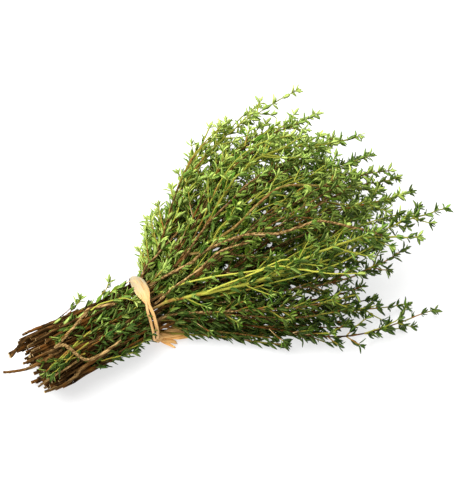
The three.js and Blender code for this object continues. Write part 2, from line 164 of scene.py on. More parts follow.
@dataclass
class NodeGraph:
    """A node tree, with short ways to add nodes and to join them."""

    tree: bpy.types.NodeTree

    def fill(self, node: bpy.types.Node, inputs: dict[str | int, object]) -> None:
        """Gives a node's inputs their values, or joins them to other sockets.

        Args:
            node: The node.
            inputs: A value or a socket for each input, by its name or number.
        """
        for name, value in inputs.items():
            socket = node.inputs[name]
            if isinstance(value, bpy.types.NodeSocket):
                self.tree.links.new(value, socket)
            elif isinstance(value, tuple) and socket.type == "RGBA":
                socket.default_value = (*value, 1.0)
            else:
                socket.default_value = value

    def add(self, kind: str, inputs: dict[str | int, object] | None = None,
            **settings: object) -> bpy.types.Node:
        """A new node.

        Args:
            kind: Its type.
            inputs: A value or a socket for each input, by its name or number.
            settings: Its other settings, by name.

        Returns:
            The node.
        """
        node = self.tree.nodes.new(kind)
        for name, value in settings.items():
            setattr(node, name, value)
        self.fill(node, inputs or {})
        return node

    def math(self, operation: str, a: object, b: object = 0.0, c: float = 0.0,
             clamp: bool = False) -> bpy.types.NodeSocket:
        """The result of a sum on up to three values."""
        node = self.add("ShaderNodeMath", {0: a, 1: b, 2: c}, operation=operation, use_clamp=clamp)
        return node.outputs[0]

    def span(self, value: object, low: float, high: float) -> bpy.types.NodeSocket:
        """A value as a share of the way from low to high, smoothed and kept from 0 to 1."""
        inputs = {"Value": value, "From Min": low, "From Max": high}
        return self.add("ShaderNodeMapRange", inputs, interpolation_type="SMOOTHSTEP").outputs["Result"]

    def blend(self, share: object, a: object, b: object) -> bpy.types.NodeSocket:
        """Two colours mixed by a share."""
        return self.add("ShaderNodeMix", {0: share, 6: a, 7: b}, data_type="RGBA").outputs[2]

    def split(self, vector: bpy.types.NodeSocket) -> bpy.types.bpy_prop_collection:
        """A vector's three parts."""
        return self.add("ShaderNodeSeparateXYZ", {0: vector}).outputs

    def attribute(self, name: str, output: str = "Fac") -> bpy.types.NodeSocket:
        """The values stored on a mesh under a name, for a material."""
        node = self.add("ShaderNodeAttribute", attribute_type="GEOMETRY", attribute_name=name)
        return node.outputs[output]

    def stored(self, name: str, kind: str = "FLOAT") -> bpy.types.NodeSocket:
        """The values stored on a mesh under a name, for a geometry tree."""
        node = self.add("GeometryNodeInputNamedAttribute", {"Name": name}, data_type=kind)
        return next(s for s in node.outputs if s.name == "Attribute" and s.enabled)

    def noise(self, scale: float, detail: float = 2.0, stretch: Triple = (1, 1, 1),
              place: bpy.types.NodeSocket | None = None) -> bpy.types.NodeSocket:
        """Noise.

        Args:
            scale: How fine it is.
            detail: How many finer layers it has.
            stretch: Its scale along each axis.
            place: Its coordinates, or none for the object's own.

        Returns:
            Its value.
        """
        if place is None:
            place = self.add("ShaderNodeTexCoord").outputs["Object"]
        mapping = self.add("ShaderNodeMapping", {"Vector": place, "Scale": stretch})
        inputs = {"Vector": mapping.outputs["Vector"], "Scale": scale, "Detail": detail}
        return self.add("ShaderNodeTexNoise", inputs).outputs["Fac"]

    def bump(self, height: object, strength: float, depth: float) -> bpy.types.NodeSocket:
        """The surface's direction, roughened by a height of a depth in millimetres."""
        inputs = {"Height": height, "Strength": strength, "Distance": depth * MM}
        return self.add("ShaderNodeBump", inputs).outputs["Normal"]


# ---- the rule the bunch grows by, the same as the solids' ----


@dataclass(frozen=True)
class Plan:
    """Where one sprig lies in the bunch, and how long it is. Lengths are millimetres."""

    number: int
    side: float
    height: float
    tip: float
    cut: float
    curl_y: float
    curl_z: float


# Sprigs that leave the rule, with the facts of their plans that differ.
STRAYS: dict[int, dict[str, float]] = {
    4: {"tip": 156},
    7: {"tip": 150},
    9: {"tip": 140},
    14: {"tip": 140},
    15: {"tip": 154},
    16: {"cut": 72},
    19: {"tip": 143},
    20: {"curl_z": 6},
    21: {"curl_z": -8},
    22: {"tip": 158, "curl_y": 2, "curl_z": -4},
    24: {"tip": 140, "curl_y": 4, "curl_z": -5},
    25: {"tip": 118, "curl_y": -8, "curl_z": -12},
    27: {"tip": 147, "curl_y": 2, "curl_z": -11},
    29: {"tip": 115, "curl_y": -8, "curl_z": 9, "cut": 66},
    30: {"tip": 88, "curl_y": 0, "curl_z": -6},
    32: {"tip": 148, "curl_y": -4, "curl_z": -12},
    33: {"tip": 104, "curl_y": -3, "curl_z": 0},
    34: {"tip": 97, "curl_y": 5, "curl_z": 13},
    35: {"tip": 129, "curl_y": -6, "curl_z": -10},
    37: {"tip": 138, "curl_y": -6, "curl_z": 2},
    38: {"tip": 127, "curl_y": -2, "curl_z": -6},
}
STRAGGLERS = (22, 25, 32, 33, 34, 35, 37, 38)  # their leaves stand further apart


@dataclass(frozen=True)
class BunchForm:
    """The bunch as a whole. Sprigs fill the neck as seeds fill a sunflower, then fan out.

    Lengths are millimetres.
    """

    sprigs: int = 40
    neck_half_width: float = 15.6
    neck_half_height: float = 13.8
    neck_height: float = 16
    fan_half_width: float = 88
    fan_start: float = 5
    fan_length: float = 56
    fan_curve: float = 1.5
    fan_top: float = 70
    fan_floor: float = 2.1
    fan_settled: float = 72
    cut_splay: float = 0.6
    cut_sag: float = 0.8
    cut_drift: float = 2.4
    cut_distance: float = 57
    cut_spread: float = 9
    tip_distance: float = 157
    edge_tip_distance: float = 100
    tip_spread: float = 0.2
    tip_rounding: float = 2.2
    radius_cut: float = 1.05
    radius_tie: float = 0.85
    radius_tip: float = 0.42
    rest_gap: float = 0.28

    def plan(self, number: int) -> Plan:
        """Where a sprig lies, with its own tip and cut lengths.

        Args:
            number: The sprig's number, from 0.

        Returns:
            Its plan.
        """
        reach = math.sqrt((number + 0.5) / self.sprigs)
        turn = number * GOLDEN_ANGLE
        side, height = reach * math.cos(turn), reach * math.sin(turn)
        tip = mix(self.tip_distance, self.edge_tip_distance, abs(side) ** self.tip_rounding)
        facts = {
            "tip": tip * (1 - self.tip_spread * draw(number, 1)),
            "cut": self.cut_distance + self.cut_spread * draw(number, 2),
            "curl_y": 10 * (draw(number, 3) - 0.5),
            "curl_z": -9 * draw(number, 4) * (0.5 + 0.5 * height),
        }
        facts.update(STRAYS.get(number, {}))
        return Plan(number=number, side=side, height=height, **facts)

    def half_width(self, x: float) -> float:
        """Half the bunch's width at a distance past the tie."""
        if x < 0:
            return self.neck_half_width + self.cut_splay * (x / self.cut_distance) ** 2
        opened = 1 - math.exp(-((max(0.0, x - self.fan_start) / self.fan_length) ** self.fan_curve))
        return mix(self.neck_half_width, self.fan_half_width, opened)

    def height_at(self, x: float, side: float, height: float) -> float:
        """Height of a place across the bunch: an oval at the tie, a heap with a flat bottom past it."""
        oval = self.neck_height + self.neck_half_height * height
        if x < 0:
            return oval + self.cut_sag * (x / self.cut_distance)
        chord = max(0.14, math.sqrt(1 - side * side))
        share = min(1.0, max(0.0, (height + chord) / (2 * chord)))
        sunk = 1 - 0.1 * smooth((x - 90) / 60)
        heap = mix(self.fan_floor, self.fan_top * math.sqrt(1 - 0.8 * side * side) * sunk, share)
        return mix(oval, heap, smooth(x / self.fan_settled) * smooth((x + 30) / 130))

    def depth(self, point: np.ndarray) -> float:
        """0 on the bunch's upper skin, 1 on the floor below it."""
        side = max(-0.98, min(0.98, float(point[1]) / self.half_width(float(point[0]))))
        top = self.height_at(float(point[0]), side, math.sqrt(1 - side * side))
        return 1 - smooth(float(point[2]) / max(8.0, top))

    def stem_radius(self, plan: Plan, x: float) -> float:
        """A stem's radius at a distance past the tie."""
        if x < 0:
            return mix(self.radius_tie, self.radius_cut, -x / plan.cut)
        return mix(self.radius_tie, self.radius_tip, x / plan.tip)

    def stem_point(self, plan: Plan, x: float) -> np.ndarray:
        """A point of a sprig's stem at a distance past the tie.

        Args:
            plan: The sprig.
            x: Distance past the tie, below 0 before it.

        Returns:
            The point, in millimetres.
        """
        sway = mix(0.3, 2.4, smooth(x / 60))
        bend = max(0.0, ((x + plan.cut) / (plan.tip + plan.cut) - 0.62) / 0.38) ** 2

        def wave(channel: int, least: float) -> float:
            """A slow bend to and fro along the stem."""
            stretch = least + 8 * draw(plan.number, channel)
            return math.sin(x / stretch + 2 * math.pi * draw(plan.number, channel + 1))

        drift = self.cut_drift * min(0.0, x / self.cut_distance) ** 2
        y = self.half_width(x) * plan.side + drift + plan.curl_y * bend + sway * wave(5, 13)
        z = self.height_at(x, plan.side, plan.height) + plan.curl_z * bend + 0.6 * sway * wave(7, 11)
        return np.array([x, y, max(z, self.stem_radius(plan, x) + self.rest_gap)])


# ---- one sprig's skeleton: its stem lines and the seats of its leaves ----


@dataclass
class Line:
    """A stem, shoot or twig: its points, with the radius, woodiness and paleness at each."""

    points: np.ndarray
    radii: np.ndarray
    wood: np.ndarray
    pale: np.ndarray | float = 0.25

    def place(self, share: float) -> tuple[np.ndarray, np.ndarray]:
        """The point and the direction at a share of the line's length."""
        steps = np.linalg.norm(np.diff(self.points, axis=0), axis=1)
        along = np.concatenate([[0.0], np.cumsum(steps)])
        target = share * along[-1]
        k = int(min(len(steps) - 1, max(0, np.searchsorted(along, target) - 1)))
        t = (target - along[k]) / max(1e-9, steps[k])
        point = self.points[k] + (self.points[k + 1] - self.points[k]) * t
        return point, unit(self.points[k + 1] - self.points[k])

    def length(self) -> float:
        """The line's length."""
        return float(np.linalg.norm(np.diff(self.points, axis=0), axis=1).sum())


@dataclass(frozen=True)
class Seat:
    """Where one leaf grows, in millimetres, which way it points and faces, and how it looks."""

    root: np.ndarray
    toward: np.ndarray
    facing: np.ndarray
    size: float
    tint: float
    warmth: float
    kind: int


@dataclass
class Skeleton:
    """What one piece grows from: stem lines, and one seat for each leaf."""

    lines: list[Line] = field(default_factory=list)
    seats: list[Seat] = field(default_factory=list)

    def add_leaf(self, root: np.ndarray, toward: np.ndarray, facing: np.ndarray, size: float,
                 tint: float, warmth: float, kind: int) -> None:
        """Seats one leaf, lifted where it would reach below the floor.

        Args:
            root: Where the leaf grows from, in millimetres.
            toward: Its direction from root to tip.
            facing: The direction its upper side faces.
            size: Its length in millimetres.
            tint: 0 for the darkest green, 1 for the brightest.
            warmth: 0 for a cool green, 1 for olive.
            kind: The number of its shape among the leaf kinds.
        """
        least = 0.3 + 0.3 * size
        if root[2] + toward[2] * size < least:
            toward = np.array([toward[0], toward[1], (least - root[2]) / size])
        # The green level holds painted light and shade from the leaf's place as well as the leaf's own
        # tone.
        tint = float(min(1.0, max(0.0, tint)))
        self.seats.append(Seat(root, unit(toward), facing, size, tint, warmth, kind))


@dataclass(frozen=True)
class Growth:
    """How the leaves stand on stems and shoots. Lengths are millimetres, angles radians."""

    leaf_length: float = 6.4
    leaf_angle: float = 1.0
    bud_length: float = 4.3
    bud_angle: float = 0.7
    pressed: float = 0.55
    bare_top: float = 0.85
    pitch_stem: float = 6.2
    pitch_tip: float = 3.8
    shoot_pairs: int = 4
    shoot_first: float = 0.31
    shoot_pitch: float = 0.15
    shoot_length: float = 27
    shoot_shrink: float = 0.12
    shoot_radius: float = 0.4
    shoot_angle: float = 0.62
    short_shoot: float = 13
    root_shoots: int = 4
    root_shoot: float = 12
    outward: float = 0.3
    outward_reach: float = 0.6
    bare_from: float = -8.5
    bare_to: float = 1.5
    leafy_to: float = -52
    low_pitch: float = 3.6
    root_first: float = 5
    root_pitch: float = 8
    far_edge: float = 0.55
    upper_half: float = 0.1
    branch_points: int = 22
    branch_radii: tuple[float, float] = (0.5, 0.32)
    cut_twigs: int = 4
    stubs: int = 3
    stub_radii: tuple[float, ...] = (0.55, 0.42, 0.36)
    turned_over: float = 0.13
    twig_floor: float = 0.7
    stem_step: float = 5.0
    loose_neck: float = 2.4
    loose_fan: float = 0.5
    bare_neck: float = 0.3
    thin_edge: float = 0.4
    bud_offset: float = 0.5
    twig_reach: float = 64


@dataclass(frozen=True)
class Tinting:
    """What each cause adds to a leaf's place between the darkest and the brightest green. The side terms
    are painted light and shade: lighter on the far side, where the key light falls, and darker on the near
    side, which lies in shade. The depth term is painted shade, darker deeper inside the bunch.
    """

    always: float = -0.11
    fresh_sprig: float = 0.3
    chance: float = 0.66
    far_side_painted_light: float = 0.17
    near_side_painted_shade: float = -0.24
    # Painted shade: leaves deeper inside the bunch are darker.
    depth: float = -0.5
    tips: float = 0.1
    neck: float = -0.16


@dataclass
class SprigGrower:
    """Grows the skeleton of one sprig. Its random draws come in a fixed order."""

    form: BunchForm
    growth: Growth
    plan: Plan
    skeleton: Skeleton = field(default_factory=Skeleton)
    tinting: Tinting = Tinting()

    def __post_init__(self) -> None:
        """Seeds the sprig, and draws how bright, how loose and how olive it is."""
        number = self.plan.number
        self.random = np.random.default_rng(SPRIG_SEED + number)
        self.fresh = draw(number, FRESH)
        self.loose = 1.0 if number in STRAGGLERS else 0.0
        self.warmth = 0.45 * draw(number, OLIVE)

    def share(self) -> float:
        """The next random share from 0 to 1."""
        return self.random.random()

    def turn(self) -> float:
        """The next random angle round a stem."""
        return 2 * math.pi * self.share()

    def jitter(self, spread: float) -> np.ndarray:
        """The next random shift, up to half a spread each way."""
        return spread * (self.random.random(3) - 0.5)

    def axis(self, x: float) -> tuple[np.ndarray, np.ndarray]:
        """The main stem's point and direction at a distance past the tie."""
        behind, here, ahead = (self.form.stem_point(self.plan, x + step) for step in (-2, 0, 2))
        return here, unit(ahead - behind)

    def add_line(self, points: list[np.ndarray] | np.ndarray, radii: np.ndarray, wood: np.ndarray,
                 pale: np.ndarray | float = 0.25, least: float = 0.0) -> Line:
        """Adds a stem to the skeleton, lifted where it would reach below a height.

        Args:
            points: Its points in millimetres.
            radii: Its radius at each.
            wood: 1 for brown wood, 0 for green stem, at each.
            pale: 1 for its lightest colour, 0 for its darkest.
            least: The height in millimetres.

        Returns:
            The stem's line.
        """
        points = np.array(points)
        points[:, 2] = np.maximum(points[:, 2], least)
        line = Line(points, radii, wood, pale)
        self.skeleton.lines.append(line)
        return line

    def grow(self) -> Skeleton:
        """Grows the whole sprig."""
        growth = self.growth
        stem = self.stem()
        self.nodes_on_stem(stem)
        self.stubs(stem)
        for pair in range(growth.shoot_pairs):
            for opposite in (0, 1):
                self.shoot(pair, opposite)
        for step in range(growth.root_shoots):
            x = growth.root_first + growth.root_pitch * step + 4 * self.share()
            turn, share = self.turn(), 0.6 + 0.5 * self.share()
            if self.plan.side > growth.far_edge:
                turn, share = 0.9 * (self.share() - 0.3), share + 0.5
            self.grow_shoot(x, turn, growth.root_shoot * share)
        for _ in range(2 if self.plan.height > growth.upper_half else 1):
            self.branch()
        self.low_leaves()
        for _ in range(growth.cut_twigs):
            self.cut_twig()
        return self.skeleton

    def branch(self) -> None:
        """A long branch that leaves the stem just past the tie and keeps beside it."""
        growth = self.growth
        share = mix(0.7, 0.62, self.loose) + mix(0.26, 0.12, self.loose) * self.share()
        start, end = 2 + 10 * self.share(), self.plan.tip * share
        turn, apart = self.turn(), 5 + 4 * self.share()
        xs = np.linspace(start, end, growth.branch_points)
        points = []
        for x in xs:
            middle, tangent = self.axis(x)
            away = across(tangent, turn) * (apart * ramp(x, start, 0.8 * (end - start)))
            points.append(middle + away + self.jitter(0.3))
        line = self.add_line(points, np.linspace(*growth.branch_radii, len(xs)),
                             np.array([self.woodiness(x) for x in xs]), least=0.8)
        length, share, around = line.length(), 0.06, turn
        while share < 1 - 2 / length:
            around += QUARTER
            self.whorl(*line.place(share), around, 0.9, buds=2)
            share += mix(growth.pitch_stem + 1.5, growth.pitch_tip, share) / length
        self.tuft(*line.place(1.0))

    def cut_twig(self) -> None:
        """A thin bare twig beside the stem at the cut end."""
        turn, apart = self.turn(), 1.0 + 1.2 * self.share()
        reach = min(self.plan.cut, self.growth.twig_reach) + 9 * (self.share() - 0.8)
        drift = 3.5 * (self.share() - 0.5)
        aside = across(np.array([1.0, 0, 0]), turn) * apart
        points = []
        for x in np.linspace(-reach, 6 - 36 * self.share(), 9):
            corner = self.form.stem_point(self.plan, x) + aside
            corner[1] += drift * ramp(-x, 20, 45)
            points.append(corner + self.jitter(0.6))
        radius = 0.35 + 0.45 * self.share()
        self.add_line(points, radius * np.linspace(1, 0.7, 9), np.full(9, 0.9),
                      0.45 * self.share() ** 2, least=self.growth.twig_floor)

    def stem(self) -> Line:
        """The main stem, kinked a little where its leaves stand."""
        plan, form = self.plan, self.form
        xs = np.arange(-plan.cut, plan.tip, self.growth.stem_step).tolist() + [plan.tip]
        xs[0] += 9 * (self.share() - 0.45)
        girth = mix(0.76, 1.12, draw(plan.number, GIRTH))
        fair = smooth(1.8 * draw(plan.number, FAIR) - 0.35)
        splay = self.jitter(1.0)
        splay[0] = 0
        rows = []
        for x in xs:
            kink = (mix(0.16, 0.34, ramp(x, 10, 40)) + 0.34 * ramp(-x, 22, 20)) * self.jitter(2.0)
            kink[0] = 0
            corner = form.stem_point(plan, x) + kink + splay * (7 * ramp(-x, 26, 44))
            knobble = girth * (1 + 0.2 * (self.share() - 0.5))
            fuller = mix(1.0, mix(0.86, 1.05, fair), ramp(x, -10, 40))
            radius = form.stem_radius(plan, x) * knobble * fuller
            corner[2] = max(corner[2], radius + 0.15)
            wood = self.woodiness(x)
            pale = fair * mix(0.05, 1.0, ramp(x, -22, 40)) * mix(0.4, 1.0, wood)
            # Painted shade: the stem's colour darkens deeper inside the bunch.
            rows.append((corner, radius, wood, pale * (1 - 0.7 * form.depth(corner))))
        return self.add_line(*(np.array(column) for column in zip(*rows)))

    def stubs(self, stem: Line) -> None:
        """Short broken-off side twigs on the bare end of the stem."""
        for _ in range(self.growth.stubs):
            root, tangent = stem.place(0.02 + 0.16 * self.share())
            away = across(tangent, self.turn())
            reach = 1.6 + 2.6 * self.share()
            points = [root + (away * 0.8 + tangent * 0.7) * (reach * t) for t in (0.0, 0.5, 1.0)]
            self.add_line(points, np.array(self.growth.stub_radii), np.ones(3), least=0.6)

    def woodiness(self, x: float) -> float:
        """1 for brown wood at the cut end, 0 for green stem at the tip."""
        return 1 - ramp(x, 150 * draw(self.plan.number, WOODY) - 30, 70)

    def nodes_on_stem(self, stem: Line) -> None:
        """Whorls along the main stem in the fan, closer together towards the tip.

        Args:
            stem: The main stem.
        """
        growth = self.growth
        length = stem.length()
        share = (self.plan.cut + growth.bare_to) / length
        turn = self.turn()
        while True:
            pitch = mix(growth.pitch_tip, growth.pitch_stem, smooth((1 - share) * length / 45))
            share += pitch * mix(1, 1.5, self.loose) * (0.85 + 0.3 * self.share()) / length
            if share > 1 - 1.5 / length:
                break
            turn += QUARTER
            near_tip = smooth((1 - share) * length / 30)
            self.whorl(*stem.place(share), turn, mix(0.8, 1.0, near_tip), buds=3)
        self.tuft(*stem.place(1.0))

    def whorl(self, point: np.ndarray, tangent: np.ndarray, turn: float, vigour: float,
              buds: int) -> None:
        """A pair of leaves with a few small ones in each axil.

        Args:
            point: Where the stem carries them.
            tangent: The stem's direction.
            turn: Angle of the pair round the stem.
            vigour: Share of the full leaf size.
            buds: Small leaves in each axil.
        """
        growth, x = self.growth, point[0]
        pressed = mix(growth.pressed, 1.0, ramp(x, 55, 60))
        hidden = mix(growth.bare_top, 0.0, ramp(x, 80, 45)) * smooth(x / 34)
        neck = x < 0
        loose = growth.loose_neck if neck else growth.loose_fan
        longer = mix(1.2, 1.0, ramp(x, 50, 50))
        far_edge = ramp(point[1] / self.form.half_width(x), 0.4, 0.35)
        sparse = growth.thin_edge * far_edge * ramp(x, 45, 30)
        for opposite in (0.0, math.pi):
            if sparse and self.share() < sparse:
                continue
            angle = turn + opposite + loose * (self.share() - 0.5)
            if neck and self.share() < growth.bare_neck:
                continue
            if not neck and math.sin(angle) > 0.35 and self.share() < hidden:
                continue
            lean = pressed * growth.leaf_angle * (0.75 + 0.5 * loose * self.share() ** 1.5)
            size = growth.leaf_length * vigour * (0.74 + 0.42 * self.share()) * longer
            self.leaf(point, tangent, angle, lean, size, 0.1)
            for _ in range(buds):
                spread = angle + 1.5 * (self.share() - 0.5)
                lean = pressed * growth.bud_angle * (0.4 + 1.1 * self.share())
                size = growth.bud_length * vigour * (0.65 + 0.6 * self.share())
                self.leaf(point + tangent * growth.bud_offset, tangent, spread, lean, size, 0.3)

    def leaf(self, point: np.ndarray, tangent: np.ndarray, angle: float, lean: float, size: float,
             bright: float) -> None:
        """One leaf, leaning out from its stem, with its upper side towards the stem's tip.

        Args:
            point: Where it grows from.
            tangent: The stem's direction.
            angle: Its angle round the stem.
            lean: Its angle away from the stem.
            size: Its length in millimetres.
            bright: How bright its green is before its place and chance change it.
        """
        away = across(tangent, angle)
        toward = tangent * math.cos(lean) + away * math.sin(lean)
        facing = tangent * math.sin(lean) - away * math.cos(lean)
        roll = 0.5 * (self.share() - 0.5)
        facing = facing * math.cos(roll) + np.cross(toward, facing) * math.sin(roll)
        if self.share() < self.growth.turned_over:
            facing = -facing
        side = point[1] / self.form.half_width(point[0])
        tinting = self.tinting
        light = bright + tinting.always + tinting.fresh_sprig * self.fresh
        light += tinting.chance * self.share() ** 2
        # Painted light and shade: leaves are lighter on the far, lit side and darker on the near side,
        # which lies in shade.
        light += tinting.far_side_painted_light * side + tinting.near_side_painted_shade * smooth(-side / 0.8)
        # Painted shade: leaves darken with their depth below the bunch's upper skin.
        light += tinting.depth * self.form.depth(point)
        light += tinting.tips * ramp(point[0], 50, 60) + tinting.neck * smooth(-point[0] / 10)
        small = size < self.growth.bud_length
        kind = len(LARGE_KINDS) + int(2 * self.share()) if small else int(4 * self.share())
        warmth = self.warmth + 0.55 * self.share()
        self.skeleton.add_leaf(point, toward, facing, size, light, warmth, kind)

    def tuft(self, end: np.ndarray, tangent: np.ndarray) -> None:
        """The closed leaves at a growing tip."""
        turn = self.turn()
        for k in range(3):
            size = self.growth.leaf_length * (0.85 - 0.16 * k)
            for opposite in (0.0, math.pi):
                lean = 0.85 - 0.26 * k + 0.12 * self.share()
                root = end - tangent * (1.6 - 0.6 * k)
                self.leaf(root, tangent, turn + opposite, lean, size, 0.35 + 0.12 * k)
            turn += QUARTER

    def shoot(self, pair: int, opposite: int) -> None:
        """One side shoot of the solid, and a short one a little further on."""
        plan, growth = self.plan, self.growth
        nudge = 0.6 * (draw(plan.number, 10 + pair) - 0.5)
        x = plan.tip * (growth.shoot_first + growth.shoot_pitch * (pair + nudge))
        turn = QUARTER * pair + math.pi * opposite + 0.5 * draw(plan.number, 20 + pair)
        vigour = 0.6 + 0.4 * draw(plan.number, 30 + 2 * pair + opposite)
        reach = growth.shoot_length * (1 - growth.shoot_shrink * pair) * vigour
        if plan.side * math.cos(turn) + plan.height * math.sin(turn) > growth.outward:
            reach *= growth.outward_reach
        self.grow_shoot(x, turn, reach)
        self.grow_shoot(x + 0.07 * plan.tip, turn + QUARTER, growth.short_shoot * vigour)

    def grow_shoot(self, x: float, turn: float, reach: float) -> None:
        """A side shoot with its leaves.

        Args:
            x: Where it leaves the stem, past the tie.
            turn: Angle round the stem.
            reach: Its length.
        """
        growth = self.growth
        point, tangent = self.axis(x)
        away = across(tangent, turn) * (reach * math.sin(growth.shoot_angle))
        along = tangent * (reach * math.cos(growth.shoot_angle))
        points = [point + along * t + away * (1.25 * t - 0.25 * t * t) + self.jitter(0.3 * t)
                  for t in np.linspace(0, 1, 9)]
        wood = self.woodiness(x + 30)
        line = self.add_line(points, growth.shoot_radius * np.linspace(1, 0.7, 9),
                             np.linspace(wood, 0.3 * wood, 9),
                             least=growth.shoot_radius + self.form.rest_gap)
        share, around = 2.5 / reach, turn
        while share < 1 - 1.2 / reach:
            around += QUARTER
            self.whorl(*line.place(share), around, mix(0.95, 0.75, share), buds=1)
            pitch = mix(5.2, 3.2, share) * mix(1, 1.4, self.loose)
            share += pitch * (0.85 + 0.3 * self.share()) / reach
        self.tuft(*line.place(1.0))

    def low_leaves(self) -> None:
        """Leaves between the tie and the cut ends, thick on the near and lower side of the bunch."""
        side, height, growth = self.plan.side, self.plan.height, self.growth
        leafy = smooth((0.95 - 1.1 * side - 0.75 * height) / 0.9) * ramp(height, -0.95, 0.5)
        outer = ramp(math.hypot(side, height), 0.3, 0.3)
        vigour = mix(0.55, 0.92, ramp(height, -0.75, 0.5))
        outward = math.atan2(height, side)
        x, turn = growth.bare_from - 2.5, self.turn()
        while x > growth.leafy_to:
            thinning = 1 - ramp(-x, 38, 14)
            point, tangent = self.axis(x)
            if self.share() < outer * (0.5 + leafy * thinning):
                self.whorl(point, tangent, turn, vigour, buds=2)
            chance = max(0.4 * leafy * thinning, 0.16 * smooth(2 * height) * ramp(x, -46, 10))
            if self.share() < outer * chance:
                self.low_shoot(point, tangent, outward)
            turn += QUARTER
            x -= growth.low_pitch

    def low_shoot(self, point: np.ndarray, tangent: np.ndarray, outward: float) -> None:
        """A short leafy shoot that lies along the neck, pressed on it by the bunch's own weight.

        Args:
            point: Where it leaves the stem.
            tangent: The stem's direction.
            outward: The angle round the stem that leads out of the bunch.
        """
        reach = min(7 + 8 * self.share(), self.growth.bare_from - point[0] + 3)
        if reach < 3:
            return
        away = across(tangent, outward + 1.2 * (self.share() - 0.5))
        points = [point + tangent * (reach * t) + away * (2 * math.sin(2.4 * t))
                  for t in np.linspace(0, 1, 6)]
        line = self.add_line(points, np.linspace(0.34, 0.24, 6), np.full(6, 0.35),
                             least=self.growth.twig_floor)
        for k, share in enumerate(np.arange(0.25, 0.95, 3.4 / reach)):
            self.whorl(*line.place(float(share)), outward + k * QUARTER, 0.85, buds=1)
        self.tuft(*line.place(1.0))


# ---- leaves and the tree that builds a sprig ----


class LeafKind(Enum):
    """The leaf shapes a sprig draws from: how much the blade arches down, folds and turns aside.

    The fourth value is its width, and the last says whether it is a small one with fewer faces.
    """

    FLAT = (0.05, 0.20, 0.00, 0.36, False)
    ARCHED = (0.17, 0.28, 0.02, 0.32, False)
    FOLDED = (0.08, 0.58, -0.02, 0.29, False)
    ASKEW = (0.10, 0.34, 0.08, 0.31, False)
    BUD_OPEN = (0.10, 0.30, 0.03, 0.42, True)
    BUD_FOLDED = (0.04, 0.60, -0.03, 0.38, True)


LARGE_KINDS = tuple(kind for kind in LeafKind if not kind.value[4])


@dataclass(frozen=True)
class LeafBlade:
    """Makes a leaf of length 1 along X with its upper side towards Z, as a closed thin shell."""

    stations: tuple[float, ...] = (0.16, 0.5, 0.8)
    widths: tuple[float, ...] = (0.52, 1.0, 0.62)
    thickness: float = 0.05

    def build(self, kind: LeafKind) -> bpy.types.Object:
        """One leaf shape as an object that the sprigs' tree takes copies of.

        Args:
            kind: Which shape.

        Returns:
            The object, linked nowhere.
        """
        arch, fold, aside, width, small = kind.value
        verts: list[Triple] = [(0.0, 0.0, 0.0)]
        blade: list[Triple] = [(0.0, 0.0, 0.0)]
        for t, share in zip(self.stations, self.widths):
            half = 0.5 * width * share
            drop, shift, rim = -arch * t * t, aside * t * t, fold * half
            ring = [(-half, rim, -1, 0.5), (-0.45 * half, 0.55 * rim, -0.45, 0), (0.0, 0.0, 0, 0),
                    (0.45 * half, 0.55 * rim, 0.45, 0), (half, rim, 1, 0.5), (0.0, -self.thickness, 0, 1)]
            if small:
                ring = [ring[0], ring[2], ring[4], ring[5]]
            verts += [(t, y + shift, z + drop) for y, z, _, _ in ring]
            blade += [(side, t, under) for _, _, side, under in ring]
        verts.append((1.0, aside, -arch))
        blade.append((0.0, 1.0, 0.0))
        mesh = shell("leaf_" + kind.name.lower(), verts, self.faces(len(self.stations), 4 if small else 6),
                     blade=np.array(blade), leafness=np.ones(len(verts)))
        return bpy.data.objects.new(mesh.name, mesh)

    @staticmethod
    def faces(rings: int, count: int) -> list[tuple[int, ...]]:
        """Faces over rings of points between a point at each end, turned outwards."""
        found: list[tuple[int, ...]] = []
        last = 1 + rings * count
        for k in range(count):
            other = (k + 1) % count
            found.append((0, 1 + k, 1 + other))
            for ring in range(rings - 1):
                here, beyond = 1 + ring * count, 1 + (ring + 1) * count
                found.append((here + k, beyond + k, beyond + other, here + other))
            far = 1 + (rings - 1) * count
            found.append((far + k, last, far + other))
        return found


